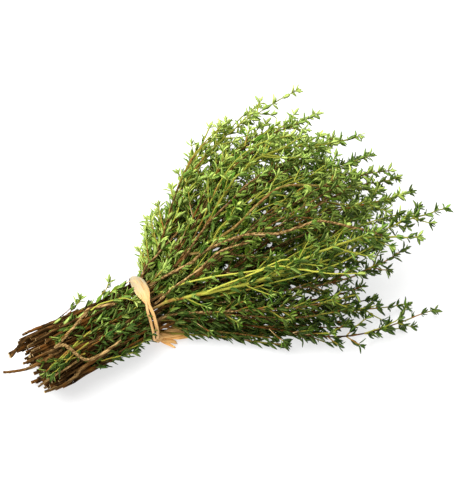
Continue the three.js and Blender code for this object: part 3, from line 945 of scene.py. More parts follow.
@dataclass
class SprigTree:
    """The geometry-node tree that turns a skeleton mesh into stems and leaves."""

    stem: bpy.types.Material
    leaf: bpy.types.Material
    leaves: list[bpy.types.Object]
    sides: int = 6

    def build(self) -> bpy.types.NodeTree:
        """Builds the tree once. Its inputs are the stems' sides, and scales for stems and leaves."""
        tree = bpy.data.node_groups.new("grow_sprig", "GeometryNodeTree")
        for name, way, kind, value in (
            ("Geometry", "INPUT", "NodeSocketGeometry", None),
            ("Stem Sides", "INPUT", "NodeSocketInt", self.sides),
            ("Stem Scale", "INPUT", "NodeSocketFloat", 1.0),
            ("Leaf Scale", "INPUT", "NodeSocketFloat", 1.0),
            ("Geometry", "OUTPUT", "NodeSocketGeometry", None),
        ):
            socket = tree.interface.new_socket(name, in_out=way, socket_type=kind)
            if value is not None:
                socket.default_value = value
        graph = NodeGraph(tree)
        given = graph.add("NodeGroupInput").outputs
        sorting = {"Geometry": given["Geometry"], "Selection": graph.stored("seat", "BOOLEAN")}
        parts = graph.add("GeometryNodeSeparateGeometry", sorting).outputs
        joined = graph.add("GeometryNodeJoinGeometry")
        graph.fill(joined, {"Geometry": self.stems(graph, given, parts["Inverted"])})
        graph.fill(joined, {"Geometry": self.seated_leaves(graph, given, parts["Selection"])})
        grown = joined.outputs["Geometry"]
        for kind, inputs in (
            ("GeometryNodeRealizeInstances", {}),
            ("GeometryNodeSetShadeSmooth", {}),
            ("GeometryNodeSetMaterial", {"Material": self.stem}),
            ("GeometryNodeSetMaterial", {"Material": self.leaf, "Selection": graph.stored("leafness")}),
        ):
            grown = graph.add(kind, {"Geometry": grown, **inputs}).outputs["Geometry"]
        graph.add("NodeGroupOutput", {"Geometry": grown})
        return tree

    @staticmethod
    def stems(graph: NodeGraph, given: bpy.types.bpy_prop_collection,
              lines: bpy.types.NodeSocket) -> bpy.types.NodeSocket:
        """Tubes along the skeleton's lines, with closed ends.

        Args:
            graph: The tree.
            given: The tree's own inputs.
            lines: The joined points.

        Returns:
            The tubes.
        """
        curve = graph.add("GeometryNodeMeshToCurve", {"Mesh": lines}).outputs["Curve"]
        round_form = {"Resolution": given["Stem Sides"], "Radius": 1.0}
        profile = graph.add("GeometryNodeCurvePrimitiveCircle", round_form)
        scale = graph.math("MULTIPLY", graph.stored("thickness"), given["Stem Scale"])
        return graph.add("GeometryNodeCurveToMesh", {
            "Curve": curve, "Profile Curve": profile.outputs["Curve"], "Scale": scale, "Fill Caps": True,
        }).outputs["Mesh"]

    def seated_leaves(self, graph: NodeGraph, given: bpy.types.bpy_prop_collection,
                      seats: bpy.types.NodeSocket) -> bpy.types.NodeSocket:
        """One leaf on each seat, turned and sized by the seat.

        Args:
            graph: The tree.
            given: The tree's own inputs.
            seats: The loose points.

        Returns:
            The leaves, as instances.
        """
        choices = graph.add("GeometryNodeJoinGeometry")
        for leaf in reversed(self.leaves):
            source = graph.add("GeometryNodeObjectInfo", {"Object": leaf, "As Instance": True})
            graph.fill(choices, {"Geometry": source.outputs["Geometry"]})
        axes = {"Primary Axis": graph.stored("toward", "FLOAT_VECTOR"),
                "Secondary Axis": graph.stored("facing", "FLOAT_VECTOR")}
        turned = graph.add("FunctionNodeAxesToRotation", axes, primary_axis="X", secondary_axis="Z")
        return graph.add("GeometryNodeInstanceOnPoints", {
            "Points": seats, "Instance": choices.outputs["Geometry"], "Pick Instance": True,
            "Instance Index": graph.stored("kind", "INT"), "Rotation": turned.outputs["Rotation"],
            "Scale": graph.math("MULTIPLY", graph.stored("size"), given["Leaf Scale"]),
        }).outputs["Instances"]


@dataclass
class SprigMaker:
    """Turns a skeleton into one finished mesh piece through the sprigs' tree."""

    tree: bpy.types.NodeTree
    stem_scale: float = 1.0

    def make(self, name: str, skeleton: Skeleton) -> bpy.types.Object:
        """Builds one piece.

        Args:
            name: The piece's name.
            skeleton: Its lines and leaf seats, in millimetres.

        Returns:
            A plain mesh object at the origin.
        """
        holder = in_scene(name + "_skeleton", self.skeleton_mesh(name, skeleton))
        modifier = holder.modifiers.new("grow", "NODES")
        modifier.node_group = self.tree
        names = {item.name: item.identifier for item in self.tree.interface.items_tree
                 if item.item_type == "SOCKET" and item.in_out == "INPUT"}
        modifier[names["Stem Scale"]] = self.stem_scale
        graph = bpy.context.evaluated_depsgraph_get()
        mesh = bpy.data.meshes.new_from_object(
            holder.evaluated_get(graph), preserve_all_data_layers=True, depsgraph=graph)
        holder.modifiers.remove(modifier)
        bpy.data.objects.remove(holder)
        mesh.name = name
        return in_scene(name, mesh)

    @staticmethod
    def skeleton_mesh(name: str, skeleton: Skeleton) -> bpy.types.Mesh:
        """The mesh the tree reads: joined points for stems, and a loose point for each leaf.

        Args:
            name: The piece's name.
            skeleton: Its lines and leaf seats, in millimetres.

        Returns:
            The mesh, in metres.
        """
        lines, seats = skeleton.lines, skeleton.seats
        edges: list[tuple[int, int]] = []
        start = 0
        for line in lines:
            edges += [(start + k, start + k + 1) for k in range(len(line.points) - 1)]
            start += len(line.points)
        roots = [seat.root for seat in seats]
        points = np.concatenate([*(line.points for line in lines), roots]) * MM
        mesh = bpy.data.meshes.new(name + "_skeleton")
        mesh.from_pydata(points.tolist(), edges, [])
        for label, kind, values in (
            ("seat", "BOOLEAN", np.arange(len(points)) >= start),
            ("kind", "INT", np.array([0] * start + [seat.kind for seat in seats], np.int32)),
        ):
            mesh.attributes.new(label, kind, "POINT").data.foreach_set("value", values)
        for label, on_lines in (
            ("pale", [np.broadcast_to(line.pale, len(line.points)) for line in lines]),
            ("thickness", [line.radii * MM for line in lines]),
            ("wood", [line.wood for line in lines]),
        ):
            store(mesh, label, np.concatenate([*on_lines, np.zeros(len(seats))]))
        for label, scale in (("size", MM), ("tint", 1), ("warmth", 1), ("toward", 1), ("facing", 1)):
            on_seats = np.array([getattr(seat, label) for seat in seats]) * scale
            store(mesh, label, np.concatenate([np.zeros((start, *on_seats.shape[1:])), on_seats]))
        return mesh


# ---- finishes ----


def new_material(name: str) -> tuple[bpy.types.Material, NodeGraph, bpy.types.Node]:
    """A material with its graph and its main shader."""
    material = bpy.data.materials.new(name)
    material.use_nodes = True
    graph = NodeGraph(material.node_tree)
    shader = next(n for n in material.node_tree.nodes if n.type == "BSDF_PRINCIPLED")
    return material, graph, shader


@dataclass(frozen=True)
class LeafFinish:
    """Fresh thyme leaves: deep green above with a pale rib and rim, greyer below."""

    deep: Colour = (0.005, 0.036, 0.001)
    deep_olive: Colour = (0.022, 0.042, 0.001)
    middle: Colour = (0.038, 0.158, 0.006)
    middle_olive: Colour = (0.130, 0.194, 0.008)
    bright: Colour = (0.340, 0.555, 0.105)
    bright_olive: Colour = (0.570, 0.610, 0.130)
    under: Colour = (0.440, 0.530, 0.150)
    roughness: float = 0.5
    patches: float = 900.0
    patch_depth: float = 0.35
    rib_light: float = 0.42

    def build(self) -> bpy.types.Material:
        """The material, driven by the leaves' green level, which holds painted light and shade as well as
        their own tone, and by their blade attributes.
        """
        material, graph, shader = new_material("thyme_leaf")
        wander = graph.math("MULTIPLY_ADD", graph.noise(self.patches), self.patch_depth,
                            -0.5 * self.patch_depth)
        # The green level holds painted light and shade as well as the leaf's own tone.
        level = graph.math("ADD", graph.attribute("tint"), wander, clamp=True)
        warmth = graph.attribute("warmth")
        bright = graph.blend(warmth, self.bright, self.bright_olive)
        base = graph.blend(graph.span(level, 0.0, 0.5), graph.blend(warmth, self.deep, self.deep_olive),
                           graph.blend(warmth, self.middle, self.middle_olive))
        base = graph.blend(graph.span(level, 0.45, 1.0), base, bright)
        blade = graph.split(graph.attribute("blade", "Vector"))
        side = graph.math("ABSOLUTE", blade[0])
        rib = graph.math("SUBTRACT", 1.0, graph.span(side, 0.02, 0.2))
        lines = graph.math("MAXIMUM", rib, graph.span(side, 0.72, 1.0))
        lines = graph.math("MULTIPLY", lines, self.rib_light)
        base = graph.blend(lines, base, graph.blend(0.55, base, bright))
        below = graph.math("MULTIPLY", graph.span(blade[2], 0.55, 0.95), graph.span(level, -0.25, 1.1))
        graph.fill(shader, {
            "Base Color": graph.blend(below, base, self.under),
            "Roughness": graph.math("MULTIPLY_ADD", graph.noise(1500.0), 0.16, self.roughness - 0.08),
            "Normal": graph.bump(graph.math("ADD", rib, graph.noise(2600.0)), 0.25, 0.1),
        })
        shader.inputs["Specular IOR Level"].default_value = 0.08
        return material


@dataclass(frozen=True)
class StemFinish:
    """Stems that go from brown bark through reddish brown to yellow-green, with pale cut faces."""

    bark: Colour = (0.016, 0.007, 0.001)
    bark_light: Colour = (0.090, 0.040, 0.009)
    tan: Colour = (0.106, 0.057, 0.016)
    tan_light: Colour = (0.525, 0.340, 0.135)
    ruddy: Colour = (0.247, 0.102, 0.024)
    rust: Colour = (0.160, 0.060, 0.010)
    green: Colour = (0.180, 0.190, 0.022)
    green_light: Colour = (0.480, 0.475, 0.070)
    cut: Colour = (0.495, 0.352, 0.157)
    roughness: float = 0.72

    def build(self) -> bpy.types.Material:
        """The material, driven by the stems' woodiness."""
        material, graph, shader = new_material("thyme_stem")
        # Paleness is the bark's own tone. On the main stems it also holds painted shade, darker deeper
        # inside the bunch.
        wood, pale = graph.attribute("wood"), graph.attribute("pale")
        streak = graph.noise(1400.0, 3.0, (0.12, 1.0, 1.0))
        bark = graph.blend(graph.span(streak, 0.42, 0.68), graph.blend(pale, self.bark, self.tan),
                           graph.blend(pale, self.bark_light, self.tan_light))
        patch = graph.span(graph.noise(110.0), 0.5, 0.68)
        rusty = graph.math("MULTIPLY", patch, graph.math("SUBTRACT", 0.75, pale, clamp=True))
        bark = graph.blend(rusty, bark, self.rust)
        green = graph.blend(pale, self.green, self.green_light)
        young = graph.blend(graph.span(graph.noise(160.0), 0.4, 0.65), green, self.ruddy)
        young = graph.blend(graph.span(wood, 0.0, 0.35), green, young)
        base = graph.blend(graph.span(wood, 0.3, 0.75), young, bark)
        normal = graph.split(graph.add("ShaderNodeNewGeometry").outputs["True Normal"])
        end = graph.math("MULTIPLY", graph.math("LESS_THAN", normal[0], -0.75), graph.span(wood, 0.55, 0.8))
        graph.fill(shader, {
            "Base Color": graph.blend(end, base, self.cut),
            "Roughness": self.roughness,
            "Normal": graph.bump(graph.math("MULTIPLY", streak, wood), 0.5, 0.25),
        })
        shader.inputs["Specular IOR Level"].default_value = 0.04
        return material


@dataclass(frozen=True)
class RaffiaFinish:
    """Dry palm fibre: cream to orange-tan, with fine streaks along the strip."""

    cream: Colour = (0.315, 0.262, 0.155)
    honey: Colour = (0.430, 0.285, 0.115)
    # The tan is partly the fibre's own orange-tan and partly painted light. It is much brighter than the
    # cream, which covers the lit top, so the near side and tails in shade look lit.
    tan: Colour = (0.880, 0.470, 0.130)
    shade: Colour = (0.185, 0.074, 0.014)
    roughness: float = 0.55

    def build(self) -> bpy.types.Material:
        """The material, driven by the strip's own along and across coordinates."""
        material, graph, shader = new_material("raffia_fibre")
        strip = graph.attribute("strip", "Vector")
        streak = graph.noise(2.2, 4.0, (0.05, 0.8, 1.0), strip)
        base = graph.blend(graph.span(streak, 0.36, 0.56), self.honey, self.cream)
        # Partly painted light: a warmer, brighter tan on the shaded near side and tails.
        base = graph.blend(graph.split(strip)[2], base, self.tan)
        shaded = graph.math("MULTIPLY", graph.span(streak, 0.46, 0.3), 0.65)
        graph.fill(shader, {
            "Base Color": graph.blend(shaded, base, self.shade),
            "Roughness": self.roughness,
            "Normal": graph.bump(streak, 0.6, 0.2),
        })
        shader.inputs["Specular IOR Level"].default_value = 0.4
        shader.inputs["Sheen Weight"].default_value = 0.1
        return material


# ---- the raffia tie ----


@dataclass
class Ribbon:
    """A strip of raffia along a path. Lengths are millimetres.

    Each path point has the direction the strip's outer side faces and the strip's width there. The
    strip is creased along its length, and an open one ends in a ragged edge.
    """

    path: np.ndarray
    outward: np.ndarray
    widths: np.ndarray
    warmth: np.ndarray
    thickness: float = 0.3
    crease: float = 0.35
    closed: bool = False
    seed: int = 1
    across_count: int = 11

    def grid(self) -> tuple[np.ndarray, np.ndarray]:
        """Points and strip coordinates, shaped (along, outer then inner, 3)."""
        random = np.random.default_rng(self.seed)
        count, wide = len(self.path), self.across_count
        phase = random.random(4) * 2 * math.pi
        rows, marks = [], []
        travelled = 0.0
        for k in range(count):
            before = self.path[k - 1] if (k or self.closed) else self.path[0]
            after = self.path[(k + 1) % count] if (k < count - 1 or self.closed) else self.path[-1]
            tangent = unit(after - before)
            out = unit(self.outward[k] - tangent * float(self.outward[k] @ tangent))
            sideways = np.cross(out, tangent)
            travelled += float(np.linalg.norm(self.path[k] - before)) if k else 0.0
            turn = 2 * math.pi * k / count if self.closed else travelled / 9
            outer, inner, row_marks = [], [], []
            for j in range(wide):
                s = 2 * j / (wide - 1) - 1
                lift = self.crease * (math.sin(2.6 * s + phase[0] + math.sin(turn + phase[1]))
                                      + 0.6 * math.sin(6.1 * s + phase[2] + 2 * math.sin(turn)))
                lift *= min(1.0, self.widths[k] / 5)
                last = not self.closed and k == count - 1
                ragged = 2.4 * (random.random() - 0.6) if last else 0.0
                base = self.path[k] + sideways * (0.5 * self.widths[k] * s) + tangent * ragged
                half = 0.5 * self.thickness * (1 - 0.75 * abs(s) ** 6)
                outer.append(base + out * (lift + half))
                inner.append(base + out * (lift - half))
                row_marks.append((travelled, s * 0.5 * self.widths[k], self.warmth[k]))
            rows.append(outer + inner[::-1])
            marks.append(row_marks + row_marks[::-1])
        points = np.array(rows)
        points[..., 2] = np.maximum(points[..., 2], 0.02)
        return points, np.array(marks)

    def build(self, name: str) -> bpy.types.Mesh:
        """The closed shell of the strip.

        Args:
            name: The mesh's name.

        Returns:
            The mesh, in metres.
        """
        points, marks = self.grid()
        count, ring = points.shape[:2]
        faces: list[tuple[int, ...]] = []
        for k in range(count if self.closed else count - 1):
            here, beyond = k * ring, ((k + 1) % count) * ring
            for j in range(ring):
                other = (j + 1) % ring
                faces.append((here + j, beyond + j, beyond + other, here + other))
        if not self.closed:
            half = self.across_count
            last = (count - 1) * ring
            for j in range(half - 1):
                a, b, c, d = j, j + 1, ring - 2 - j, ring - 1 - j
                faces.append((a, b, c, d))
                faces.append((last + d, last + c, last + b, last + a))
        return shell(name, (points.reshape(-1, 3) * MM).tolist(), faces, strip=marks.reshape(-1, 3))


@dataclass
class RaffiaTie:
    """The band round the neck, a thinner second turn, the knot and the tails."""

    form: BunchForm
    material: bpy.types.Material
    gap: float = 1.6
    thickness: float = 0.8
    lean: float = 3.6
    wide: float = 7.4
    narrow: float = 1.7
    steps: int = 96

    def loop_point(self, angle: float, out: float) -> np.ndarray:
        """A point of the loop round the neck, further out than its inside by a distance."""
        y = (self.form.neck_half_width + self.gap + out) * math.cos(angle)
        z = self.form.neck_height + (self.form.neck_half_height + self.gap + out) * math.sin(angle)
        return np.array([self.lean * math.cos(angle) - 0.5, y, max(0.25, z)])

    def band(self) -> Ribbon:
        """The wide turn: broad over the top, gathered on the near side."""
        rows = []
        for k in range(self.steps):
            angle = 2 * math.pi * k / self.steps
            degrees = math.degrees(angle)
            share = ramp(degrees, 30, 50) * (1 - ramp(degrees, 92, 34))
            place = self.loop_point(angle, 0.5 * self.thickness + 0.25 * share)
            place[0] += 0.9 * ramp(degrees, 110, 30) * (1 - ramp(degrees, 196, 16))
            outward = (0.0, math.cos(angle) / self.form.neck_half_width,
                       math.sin(angle) / self.form.neck_half_height)
            rows.append((place, outward, mix(self.narrow, self.wide, share), 0.62 * ramp(degrees, 74, 40)))
        return Ribbon(*(np.array(column) for column in zip(*rows)), closed=True, seed=3, crease=0.28)

    def second_turn(self) -> Ribbon:
        """A thin strand of the same strip, which strays towards the cut ends on the far side."""
        rows = []
        count = self.steps // 2
        for degrees, warmth in zip(np.linspace(-30, 214, count), np.linspace(0.1, 0.75, count)):
            angle = math.radians(degrees)
            strayed = 1 - ramp(degrees, 18, 56)
            place = self.loop_point(angle, 0.75 - 2.4 * strayed)
            place[0] -= 6.0 * strayed
            place[0] -= 1.7 * ramp(degrees, 104, 30) * (1 - ramp(degrees, 186, 26))
            outward = (0.0, math.cos(angle), math.sin(angle))
            rows.append((place, outward, mix(2.6, 1.35, ramp(degrees, 50, 50)), warmth))
        return Ribbon(*(np.array(column) for column in zip(*rows)), seed=8, crease=0.2, across_count=5)

    def knot(self) -> list[Ribbon]:
        """Two small crossing turns where the strip is tied, low on the near side."""
        centre = np.array([-0.6, -12.4, 4.2])
        turns = []
        for number, (axis, radius) in enumerate((((1.0, 0.25, 0.2), 2.3), ((0.25, -0.6, 1.0), 2.0))):
            spin = unit(np.array(axis))
            first = unit(np.cross(spin, np.array([0.3, 1.0, 0.1])))
            second = np.cross(spin, first)
            angles = np.linspace(0, 2 * math.pi, 28, endpoint=False)
            ring = np.array([first * math.cos(a) + second * math.sin(a) for a in angles])
            path = centre + ring * radius + np.outer(np.sin(angles), spin) * 0.5
            path[:, 2] = np.maximum(path[:, 2], 0.6)
            turns.append(Ribbon(path, ring, np.full(28, 3.0 - 0.5 * number), np.full(28, 0.6),
                                closed=True, seed=20 + number, thickness=0.4, crease=0.22,
                                across_count=7))
        return turns

    def tails(self) -> list[Ribbon]:
        """The broad folded tail, and the narrow ones beside it."""
        routes = (
            ([(-0.5, -12, 5.0), (4.4, -14.2, 6.0), (9.4, -15.4, 6.2), (14.0, -16.2, 5.4)],
             (2.4, 4.6, 6.4, 5.6), 0.75, 31),
            ([(-0.5, -12, 4.0), (4.6, -14.8, 4.4), (9.2, -17.0, 3.8), (13.4, -18.6, 2.4)],
             (2.0, 3.6, 4.6, 3.6), 0.95, 32),
            ([(-0.4, -12, 3.6), (2.0, -15.6, 3.6), (4.6, -17.6, 3.0), (6.8, -19.4, 1.8)],
             (1.6, 2.4, 2.4, 1.8), 0.75, 33),
            ([(-0.4, -12, 3.2), (1.0, -15.4, 2.8), (2.8, -18.0, 2.0), (4.4, -20.2, 0.8)],
             (1.2, 1.6, 1.6, 1.0), 0.95, 34),
        )
        found = []
        for points, widths, warmth, seed in routes:
            count = 18
            path = self.curve(np.array(points, float), count)
            shares = np.linspace(0, len(widths) - 1, count)
            wide = np.interp(shares, range(len(widths)), widths)
            tilt = np.array([0.15 * math.sin(seed), -0.35, 1.0])
            found.append(Ribbon(path, np.tile(tilt, (count, 1)), wide, np.full(count, warmth), seed=seed,
                                crease=0.34, across_count=9))
        return found

    @staticmethod
    def curve(points: np.ndarray, count: int) -> np.ndarray:
        """A smooth line through a few points."""
        padded = np.concatenate([[2 * points[0] - points[1]], points, [2 * points[-1] - points[-2]]])
        found = []
        for s in np.linspace(0, len(points) - 1, count):
            k = min(int(s), len(points) - 2)
            t = s - k
            a, b, c, d = padded[k:k + 4]
            found.append(0.5 * (2 * b + (c - a) * t + (2 * a - 5 * b + 4 * c - d) * t * t
                                + (3 * b - a - 3 * c + d) * t ** 3))
        return np.array(found)

    def build(self) -> bpy.types.Object:
        """All the strips as one piece."""
        strips = [self.band(), self.second_turn(), *self.knot(), *self.tails()]
        return joined_piece("raffia_strip", [s.build(f"strip_{k}") for k, s in enumerate(strips)],
                            self.material)


def joined_piece(name: str, meshes: list[bpy.types.Mesh], material: bpy.types.Material) -> bpy.types.Object:
    """Several meshes as one mesh object with one material.

    Args:
        name: The piece's name.
        meshes: The meshes, which are used up.
        material: The material for all of it.

    Returns:
        The object, linked to the scene.
    """
    whole = in_scene(name, meshes[0])
    others = [in_scene(mesh.name, mesh) for mesh in meshes[1:]]
    if others:
        with bpy.context.temp_override(active_object=whole, selected_editable_objects=[whole, *others]):
            bpy.ops.object.join()
    whole.data.name = name
    whole.data.materials.clear()
    whole.data.materials.append(material)
    return whole


# ---- single stems and twigs that stand out from the bunch ----


@dataclass(frozen=True)
class OuterTwig:
    """A twig on the skin of the bunch before the tie.

    Its stations give the distance past the tie, the angle round the bunch in degrees from the far
    side over the top, and how far it stands off the stems, in millimetres.
    """

    stations: tuple[Triple, ...]
    radius: float
    wood: float
    pale: float = 0.0
    leafy: bool = False
    bright: float = 0.2
    olive: float = 0.2
    vigour: float = 0.95


@dataclass(frozen=True)
class TopStem:
    """A leafy stem laid on the fan or on the neck, by points in millimetres from the origin."""

    points: tuple[Triple, ...]
    radius: float
    wood: float
    pale: float
    pitch: float = 8.0
    bright: float = 0.3


OUTER_TWIGS = (
    OuterTwig(((-16, 88, 0.4), (-27, 75, 1.4), (-31, 79, 1.9), (-37, 88, 1.9), (-45, 98, 1.9),
              (-49, 103, 1.9), (-54, 106, 1.3)), 0.86, 0.8, 0.95),
    OuterTwig(((-53, 105, 1.3), (-49, 112, 1.9), (-47, 128, 2.0), (-45, 142, 2.0), (-42, 150, 2.0),
              (-36, 153, 1.6), (-30, 152, 1.4), (-23, 151, 0.6)), 0.98, 0.8, 0.85),
    OuterTwig(((-28, 78, 1.2), (-23, 78, 2.0), (-17, 84, 2.2), (-11, 92, 2.4), (-7, 106, 1.8)), 0.42,
              0.0, 0.6, True, 0.9, 0.5, 0.8),
    OuterTwig(((-46, 36, -0.5), (-36, 33, 1.2), (-28, 28, 3.4)), 0.32, 0.95),
    OuterTwig(((-36, 168, 0.5), (-30, 172, 1.6), (-24, 176, 3.0), (-19, 176, 4.4)), 0.34, 0.3, 0.3,
              True, 0.0),
    OuterTwig(((-38, 40, -0.5), (-31, 35, 1.4), (-26, 31, 3.4)), 0.34, 0.3, 0.3, True, 0.3, 0.3, 0.75),
    OuterTwig(((-20, 44, -0.5), (-13, 38, 1.6), (-9, 33, 4.2)), 0.34, 0.3, 0.3, True, 0.4, 0.3, 0.75),
    OuterTwig(((-32, 40, -1.0), (-46, 43, 0.2), (-55, 36, 1.2), (-61, 30, 1.6)), 1.05, 1.0, 0.1),
    OuterTwig(((-42, 56, -2.0), (-54, 58, 0.4), (-61, 60, 1.0), (-68, 71, 1.0), (-74, 82, 1.0)), 1.2,
              1.0, 0.05),
    OuterTwig(((-50, 112, -3.0), (-62, 116, 0.6), (-69, 115, 1.0), (-76, 108, 1.0), (-81, 100, 1.0)),
              1.0, 1.0, 0.3),
    OuterTwig(((-50, 108, -2.0), (-62, 106, 1.0), (-71, 104, 1.2)), 0.9, 0.9, 0.2),
    OuterTwig(((-30, 160, -1.0), (-46, 160, 0.6), (-51, 168, 1.0), (-57, 172, 1.0), (-62, 169, 1.0),
              (-68, 164, 1.0)), 1.1, 1.0, 0.3),
    OuterTwig(((-46, 146, -1.0), (-57, 146, 0.8), (-64, 146, 1.2), (-70, 148, 1.4)), 0.7, 1.0, 0.9),
    OuterTwig(((-40, 118, -0.6), (-50, 122, 0.8), (-58, 128, 0.6), (-64, 134, 0.0)), 0.45, 0.3, 0.3,
              True, 0.3, 0.6, 0.62),
    OuterTwig(((-42, 140, -0.6), (-50, 134, 0.6), (-57, 124, 0.8), (-63, 116, 0.4)), 0.4, 0.3, 0.3,
              True, 0.5, 0.6, 0.6),
)
TOP_STEMS = (
    TopStem(((-2, 4, 22), (5, 2, 28), (13, 0, 32), (27, -4, 37), (37, -6, 43), (52, -16, 53),
            (65, -29, 58), (82, -36, 62), (95, -46, 58), (110, -55, 50)), 0.9, 0.9, 0.75, 12.0),
    TopStem(((30, 3, 35), (36, -5, 41), (44, -6, 47), (53, -9, 54), (64, -10, 62), (79, -11, 67),
            (94, -20, 66), (108, -24, 60)), 0.8, 0.62, 0.5, 9.0),
    TopStem(((8, -2, 24), (16, -8, 31), (31, -18, 37), (48, -32, 44), (59, -38, 50), (67, -42, 46)),
            0.5, 0.0, 0.75, 7.0, 0.6),
    TopStem(((26, -20, 31), (43, -30, 41), (55, -37, 47), (62, -45, 48), (75, -56, 46), (90, -61, 40)),
            0.48, 0.0, 0.85, 7.0, 0.6),
    TopStem(((20, 20, 26), (31, 24, 33), (38, 26, 37), (46, 30, 43), (58, 34, 46)), 0.5, 0.05, 0.5, 6.0),
    TopStem(((20, -1, 30), (29, 2, 37), (36, 4, 41), (45, 5, 48), (58, 3, 58), (66, 3, 63),
            (80, 6, 62)), 0.75, 0.85, 0.4, 9.0),
    TopStem(((22, -8, 31), (37, -6, 42), (45, -3, 49), (56, -1, 52)), 0.36, 0.1, 0.4, 7.0),
    TopStem(((5, 9, 27), (10, 12, 30), (17, 14, 31), (25, 15, 35), (36, 17, 38)), 0.75, 0.95, 0.6, 12.0),
    TopStem(((0, -11, 8), (6, -16, 7), (14, -22, 6), (28, -33, 5), (40, -46, 5), (50, -56, 6)), 0.6,
            0.5, 0.2, 3.6, -0.1),
    TopStem(((0, -12, 13), (8, -17, 11), (18, -24, 9), (32, -36, 8), (46, -50, 8)), 0.6, 0.6, 0.2, 4.2,
            0.0),
    TopStem(((-2, -4, 19), (6, -7, 26), (14, -8, 31), (28, -10, 37), (40, -12, 45), (54, -18, 48)),
            0.7, 0.95, 0.9, 14.0),
    TopStem(((2, -11, 16), (10, -16, 15), (22, -24, 13), (36, -35, 12), (52, -48, 11), (66, -58, 11)),
            0.5, 0.5, 0.2, 3.4, -0.1),
    TopStem(((8, -13, 9), (18, -21, 6), (30, -31, 5), (46, -43, 5), (62, -57, 5)), 0.5, 0.5, 0.2, 3.4,
            -0.1),
    TopStem(((-6, -7, 6), (5, -11, 5), (14, -18, 5), (26, -28, 4.5), (38, -38, 4.5), (50, -47, 4.5)),
            0.6, 0.6, 0.2, 2.7, -0.1),
    TopStem(((-6, -7, 8), (6, -11, 8), (18, -19, 7), (34, -31, 6), (52, -46, 6), (68, -60, 6)), 0.6,
            0.6, 0.2, 2.9, -0.1),
    TopStem(((-38, -9.6, 27.8), (-47, -11.4, 28.3), (-55, -13.2, 27.0), (-62, -13.9, 25.7)), 0.42, 0.3,
            0.3, 3.4, 0.25),
    TopStem(((-34, -5.6, 29.7), (-43, -7.8, 30.4), (-50, -10.1, 29.4), (-56, -11.1, 28.3)), 0.42, 0.3,
            0.3, 3.6, 0.1),
    TopStem(((-36, 1.7, 30.5), (-43, -0.6, 31.9), (-50, -2.8, 31.8)), 0.42, 0.3, 0.3, 3.6, 0.1),
    TopStem(((10, -8, 14), (30, -15, 13), (50, -20, 13), (63, -25, 14), (78, -34, 14), (91, -42, 14)),
            0.5, 0.5, 0.2, 3.0, 0.0),
    TopStem(((10, -10, 12), (30, -19, 11), (50, -29, 11), (70, -42, 12), (86, -60, 12)), 0.5, 0.5, 0.2,
            3.0, 0.0),
    TopStem(((12, -13, 8), (32, -26, 8), (52, -40, 8), (70, -54, 9), (83, -66, 9)), 0.5, 0.5, 0.2, 3.0,
            0.0),
    TopStem(((30, -10, 20), (46, -14, 20), (62, -19, 20), (78, -27, 19), (92, -34, 18)), 0.45, 0.4,
            0.3, 3.2, 0.0),
)


@dataclass
class OuterTwigs:
    """Builds the twigs on the neck and the single stems on the fan as one piece."""

    form: BunchForm
    growth: Growth
    maker: SprigMaker
    off_neck: float = 1.2
    twig_pitch: float = 4.6
    skeleton: Skeleton = field(default_factory=Skeleton)

    def point(self, station: Triple) -> np.ndarray:
        """A station's place, in millimetres."""
        x, turn, off = station
        angle = math.radians(turn)
        off += self.off_neck
        y = (self.form.neck_half_width + off) * math.cos(angle)
        z = self.form.neck_height + (self.form.neck_half_height + off) * math.sin(angle)
        return np.array([x, y, z])

    def lay(self, route: np.ndarray, radius: float, wood: float, pale: float) -> Line:
        """Adds a stem along a route, with a slight wander and knobs.

        Args:
            route: Its points in millimetres.
            radius: Its radius at the thick end.
            wood: 1 for brown wood, 0 for green stem.
            pale: 1 for its lightest colour, 0 for its darkest.

        Returns:
            The stem's line.
        """
        random = np.random.default_rng(OUTER_SEED + len(self.skeleton.lines))
        count = len(route)
        route = route + 0.22 * (random.random((count, 3)) - 0.5)
        radii = radius * np.linspace(1.0, 0.68, count) * (1 + 0.24 * (random.random(count) - 0.5))
        line = Line(route, radii, np.full(count, wood), pale)
        self.skeleton.lines.append(line)
        return line

    def dress(self, line: Line, number: int, pitch: float, bright: float, first: float, olive: float = 0.2,
              vigour: float = 0.95) -> None:
        """Gives a stem its leaves.

        Args:
            line: The stem.
            number: Seeds the leaves.
            pitch: Distance between the whorls, in millimetres.
            bright: How bright the green is.
            first: Share of the length that stays bare.
            olive: How olive the green is.
            vigour: Share of the full leaf size.
        """
        grower = SprigGrower(self.form, self.growth, self.form.plan(number + 1), self.skeleton)
        grower.fresh, grower.warmth = bright, olive
        for k, share in enumerate(np.arange(first, 0.99, pitch / line.length())):
            grower.whorl(*line.place(float(share)), k * QUARTER, vigour, buds=2)
        grower.tuft(*line.place(1.0))

    def build(self) -> bpy.types.Object:
        """All of them, with their leaves."""
        for number, twig in enumerate(OUTER_TWIGS):
            route = RaffiaTie.curve(np.array([self.point(s) for s in twig.stations]), 22)
            line = self.lay(route, twig.radius, twig.wood, twig.pale)
            if twig.leafy:
                self.dress(line, number, self.twig_pitch, twig.bright, 0.3, twig.olive, twig.vigour)
        for number, stem in enumerate(TOP_STEMS):
            route = RaffiaTie.curve(np.array(stem.points, float), 30)
            line = self.lay(route, stem.radius, stem.wood, stem.pale)
            self.dress(line, 20 + number, stem.pitch, stem.bright, 0.2)
        return self.maker.make("outer_twigs", self.skeleton)


# ---- floor, light and camera ----


